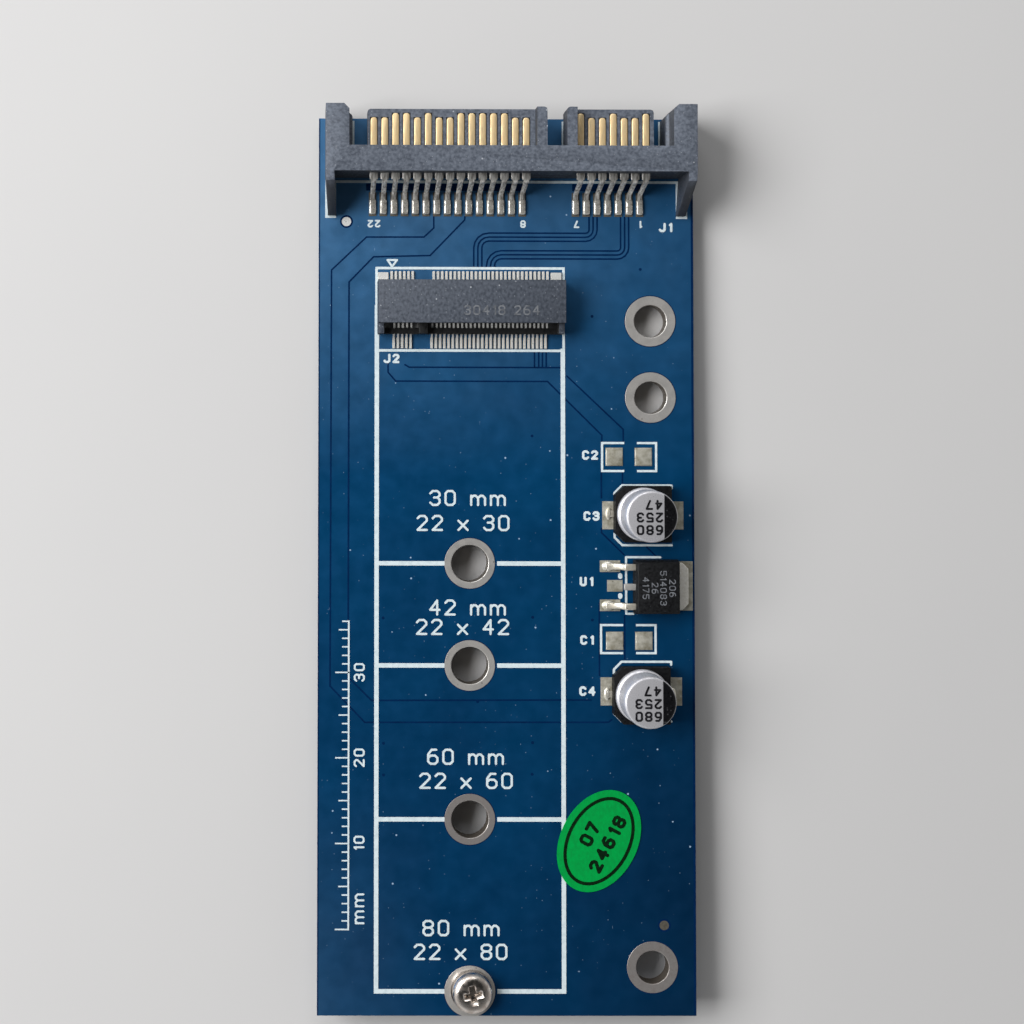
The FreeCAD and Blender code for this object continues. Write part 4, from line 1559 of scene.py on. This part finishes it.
@dataclass
class EmptyPlace(Assembly):
    """Two tinned lands that carry no part."""

    name: str
    inset: float = 0.05
    swell: float = 0.08
    edge: float = 0.06

    def build(self) -> None:
        """Lay a flat pillow of solder on both lands."""
        bm = bmesh.new()
        for low, high in islands(f"{self.name}_lands"):
            foot = (low.x + self.inset, low.y + self.inset, high.z - SINK)
            add_pillow(bm, foot, (high.x - self.inset, high.y - self.inset, high.z + self.swell), self.edge)
        make_piece(bm, f"{self.name}_solder", PAD_TIN, Slot.TINNED, SOLDER_CREASE)

    def dress(self) -> None:
        """Give the lands their tin."""
        dress(PAD_TIN, f"{self.name}_lands")


@dataclass
class Regulator(Assembly):
    """The three-lead regulator with its cooling tab."""

    body_edge: float = 0.14
    body_keen: float = 30.0
    lead_edge: float = 0.12
    tab_edge: float = 0.1
    rows: tuple[tuple[str, float], ...] = (("206", 1.56), ("514083", 0.5), ("26", -0.48), ("4175", -1.54))
    row_style: Lettering = Lettering(0.78, 0.11)
    row_thickness: float = 0.01
    solder_in: float = 0.45
    solder_size: Triple = (0.85, 0.62, 0.3)
    solder_steps: int = 16

    def build(self) -> None:
        """Round the body, the leads and the tab, number the body and set the solder."""
        leads = ("regulator_lead_lower", "regulator_lead_upper")
        soften("regulator_body", self.body_edge, RESIN, Slot.RESIN, keen=self.body_keen)
        soften("regulator_tab", self.tab_edge, TAB_TIN, Slot.TIN)
        for lead in leads:
            soften(lead, self.lead_edge, LEAD_TIN, Slot.TIN)
        body = node_box("regulator_body")
        numbers = FlatPrint(body.high.z, self.row_thickness)
        for text, aside in self.rows:
            numbers.figures(text, (body.middle.x + aside, body.middle.y), self.row_style, turn=-90)
        numbers.finish("regulator_numbers", GREY_INK)
        bm = bmesh.new()
        for lead in leads:
            box = node_box(lead)
            spot = (box.low.x + self.solder_in, box.middle.y, box.low.z)
            add_dome(bm, spot, self.solder_size, self.solder_steps)
        make_piece(bm, "regulator_solder", SOLDER, Slot.TINNED, SOLDER_CREASE)

    def dress(self) -> None:
        """Give the lands their solder."""
        dress(PAD_TIN, "regulator_lands")


@dataclass
class CardScrew(Assembly):
    """The pan-head screw that holds a card, with its nut under the board."""

    recess_span: float = 3.3
    recess_width: float = 1.05
    recess_depth: float = 1.0
    recess_turn: float = 10.0
    recess_taper: float = 0.45
    shank: float = 1.25
    tip_inset: float = 0.25
    tip_rise: float = 0.3
    head_foot: float = 4.05
    head_curve: Run = (
        (0.1, 0.0), (0.0, 0.1), (0.0, 0.95), (0.04, 1.16), (0.13, 1.36), (0.28, 1.54), (0.47, 1.67),
        (0.7, 1.76), (1.1, 1.82), (1.6, 1.87),
    )
    steps: int = 72
    nut_edge: float = 0.1

    def build(self) -> None:
        """Turn the screw, sink the cross recess and round the nut."""
        box = node_box("card_screw")
        radius, foot = box.size.x / 2, self.head_foot
        outline = [(0, box.low.z), (self.shank - self.tip_inset, box.low.z)]
        outline += [(self.shank, box.low.z + self.tip_rise), (self.shank, foot)]
        outline += [(radius - inset, foot + rise) for inset, rise in self.head_curve]
        outline.append((0, box.high.z))
        bm = bmesh.new()
        add_turned(bm, outline, (box.middle.x, box.middle.y), self.steps)
        screw = make_piece(bm, "card_screw_turned", SCREW_METAL, Slot.SCREW, TURNED_CREASE)
        self.sink_recess(screw, (box.middle.x, box.middle.y, box.high.z))
        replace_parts(screw, "card_screw")
        soften("card_screw_nut", self.nut_edge, SCREW_METAL, Slot.SCREW)

    def sink_recess(self, screw: bpy.types.Object, spot: Triple) -> None:
        """Cut the cross recess out of the head.

        Args:
            screw: The turned screw.
            spot: Middle of the head's top.
        """
        bm = bmesh.new()
        x, y, top = spot
        for turn in (self.recess_turn, self.recess_turn + 90):
            size = (self.recess_span, self.recess_width, 2 * self.recess_depth)
            made = bmesh.ops.create_cube(bm, matrix=placed(spot, turn, size))
            deep = [vert for vert in made["verts"] if vert.co.z < top]
            taper = (self.recess_taper, self.recess_taper, 1.0)
            bmesh.ops.scale(bm, vec=taper, space=Matrix.Translation((-x, -y, 0)), verts=deep)
        cutter = make_piece(bm, "recess_cutter", SCREW_METAL)
        sink = screw.modifiers.new("recess", "BOOLEAN")
        sink.operation = "DIFFERENCE"
        sink.solver = "EXACT"
        sink.use_self = True
        sink.object = cutter
        graph = bpy.context.evaluated_depsgraph_get()
        whole = bpy.data.meshes.new_from_object(screw.evaluated_get(graph))
        screw.modifiers.clear()
        screw.data = whole
        bpy.data.objects.remove(cutter)


@dataclass
class PaperSeal(Assembly):
    """The oval paper seal with a ring line and two rows of plain figures."""

    turn: float = 62.0
    half_long: float = 5.5
    half_short: float = 3.75
    ring_width: float = 0.39
    ink: float = 0.012
    rows: tuple[tuple[str, Point], ...] = (("07", (0.2, 1.36)), ("24618", (0.15, -1.05)))
    row_style: Lettering = Lettering(1.65, 0.4)

    def build(self) -> None:
        """Print the ring line, stretched from a round one, and the figures."""
        box = node_box("paper_seal")
        mark = FlatPrint(0.0, self.ink)
        inner, outer = 1.0, 2.0
        mark.ring((0.0, 0.0), inner, outer)
        for radius, inset in ((inner, self.ring_width), (outer, 0.0)):
            verts = [vert for vert in mark.bm.verts if abs(vert.co.xy.length - radius) < (outer - inner) / 2]
            stretch = ((self.half_long - inset) / radius, (self.half_short - inset) / radius, 1.0)
            bmesh.ops.scale(mark.bm, vec=stretch, verts=verts)
        for text, spot in self.rows:
            mark.figures(text, spot, self.row_style)
        place = placed((box.middle.x, box.middle.y, box.high.z), self.turn)
        bmesh.ops.transform(mark.bm, matrix=place, verts=mark.bm.verts)
        mark.finish("paper_seal_mark", SEAL_INK)

    def dress(self) -> None:
        """Give the seal its paper."""
        dress(PAPER, "paper_seal")


class Lamp(NamedTuple):
    """A soft light: its place, aim and size in millimetres and its power in watts."""

    name: str
    place: Triple
    aim: Triple
    size: Point
    power: float


@dataclass
class Studio(Assembly):
    """Floor, light and camera."""

    floor_half: float = 900.0
    floor_turn: float = 1.34
    floor_touch: float = -50.1
    lamps: tuple[Lamp, ...] = (
        Lamp("key_light", (-534, 133, 400), (0, 0, 0), (560, 380), 6.6),
        Lamp("top_panel", (-60, 500, 400), (0, 20, 0), (420, 300), 1.1),
    )
    world_colour: Triple = (0.97, 0.985, 1.0)
    world_rise: Point = (0.15, 0.9)
    world_low: float = 0.4
    world_seen: float = 0.8
    world_high: float = 0.02
    camera_place: Triple = (-23.15, 16.364, 167.648)
    camera_turn: Triple = (1.452, -0.2276, 0.143)
    lens: float = 48.591
    sensor: float = 36.0
    shift: Point = (0.1912, -0.1226)
    clip_start: float = 0.001

    def build(self) -> None:
        """Lay the floor, hang the lights and set the camera."""
        self.lay_floor()
        for lamp in self.lamps:
            self.hang_light(lamp)
        self.fill_world()
        self.set_camera()
        bpy.context.scene.view_settings.view_transform = "Standard"

    def lay_floor(self) -> None:
        """Lay the floor under the points that the part rests on."""
        bm = bmesh.new()
        bmesh.ops.create_grid(bm, x_segments=1, y_segments=1, size=self.floor_half)
        tilt = Matrix.Rotation(math.radians(self.floor_turn), 4, "X")
        bmesh.ops.transform(bm, matrix=Matrix.Translation((0, self.floor_touch, 0)) @ tilt, verts=bm.verts)
        floor = make_object(bm, "floor", FLOOR)

    def hang_light(self, lamp: Lamp) -> None:
        """Hang a soft light.

        Args:
            lamp: The light.
        """
        data = bpy.data.lights.new(lamp.name, "AREA")
        data.energy = lamp.power
        data.shape = "RECTANGLE"
        data.size, data.size_y = (side * MM for side in lamp.size)
        light = bpy.data.objects.new(lamp.name, data)
        light.location = Vector(lamp.place) * MM
        light.rotation_euler = (Vector(lamp.aim) - Vector(lamp.place)).to_track_quat("-Z", "Y").to_euler()
        bpy.context.collection.objects.link(light)

    def fill_world(self) -> None:
        """Fill the room with soft light that is dimmer overhead, and paler where it is seen or mirrored."""
        world = bpy.data.worlds.new("studio")
        bpy.context.scene.world = world
        world.use_nodes = True
        background = world.node_tree.nodes["Background"]
        background.inputs["Color"].default_value = (*self.world_colour, 1.0)
        sheet = NodeSheet(world.node_tree, Place.WORLD)
        rays = ("Is Camera Ray", "Is Glossy Ray", "Is Transmission Ray")
        seen = sheet.most(*(sheet.add("LightPath", ray) for ray in rays))
        level = sheet.band(seen, 0.0, 1.0, self.world_low, self.world_seen)
        height = sheet.add("SeparateXYZ", "Z", {"Vector": sheet.place})
        strength = sheet.band(height, *self.world_rise, level, self.world_high)
        sheet.feed(background.inputs["Strength"], strength)

    def set_camera(self) -> None:
        """Set the camera where the photograph was taken."""
        data = bpy.data.cameras.new("camera")
        data.lens = self.lens
        data.sensor_width = self.sensor
        data.sensor_fit = "HORIZONTAL"
        data.shift_x, data.shift_y = self.shift
        data.clip_start = self.clip_start
        camera = bpy.data.objects.new("camera", data)
        camera.location = Vector(self.camera_place) * MM
        camera.rotation_euler = Euler([math.radians(angle) for angle in self.camera_turn], "XYZ")
        bpy.context.collection.objects.link(camera)
        bpy.context.scene.camera = camera


def main() -> None:
    """Build and dress each part of the scene in order."""
    logging.basicConfig(level=logging.INFO, format="%(name)s %(message)s")
    parts: list[Assembly] = [
        Studio(),
        PlatedHole("card_hole_sleeve_1", CARD_BORE),
        PlatedHole("card_hole_sleeve_2", CARD_BORE),
        PlatedHole("card_hole_sleeve_3", CARD_BORE, finish=DARKER_RING_TIN),
        PlatedHole("card_hole_sleeve_4", CARD_BORE, lower_ring=False),
        PlatedHole("fixing_hole_sleeve_1", FIXING_BORE),
        PlatedHole("fixing_hole_sleeve_2", FIXING_BORE),
        PlatedHole("fixing_hole_sleeve_3", FIXING_BORE, finish=DARKER_RING_TIN),
        Board(),
        DrivePlug(),
        CardSocket(),
        SupplyCapacitor("capacitor_c3"),
        SupplyCapacitor("capacitor_c4"),
        EmptyPlace("capacitor_c1"),
        EmptyPlace("capacitor_c2"),
        Regulator(),
        PaperSeal(),
        CardScrew(),
    ]
    for part in parts:
        part.build()
        part.dress()


if __name__ == "__main__":
    main()
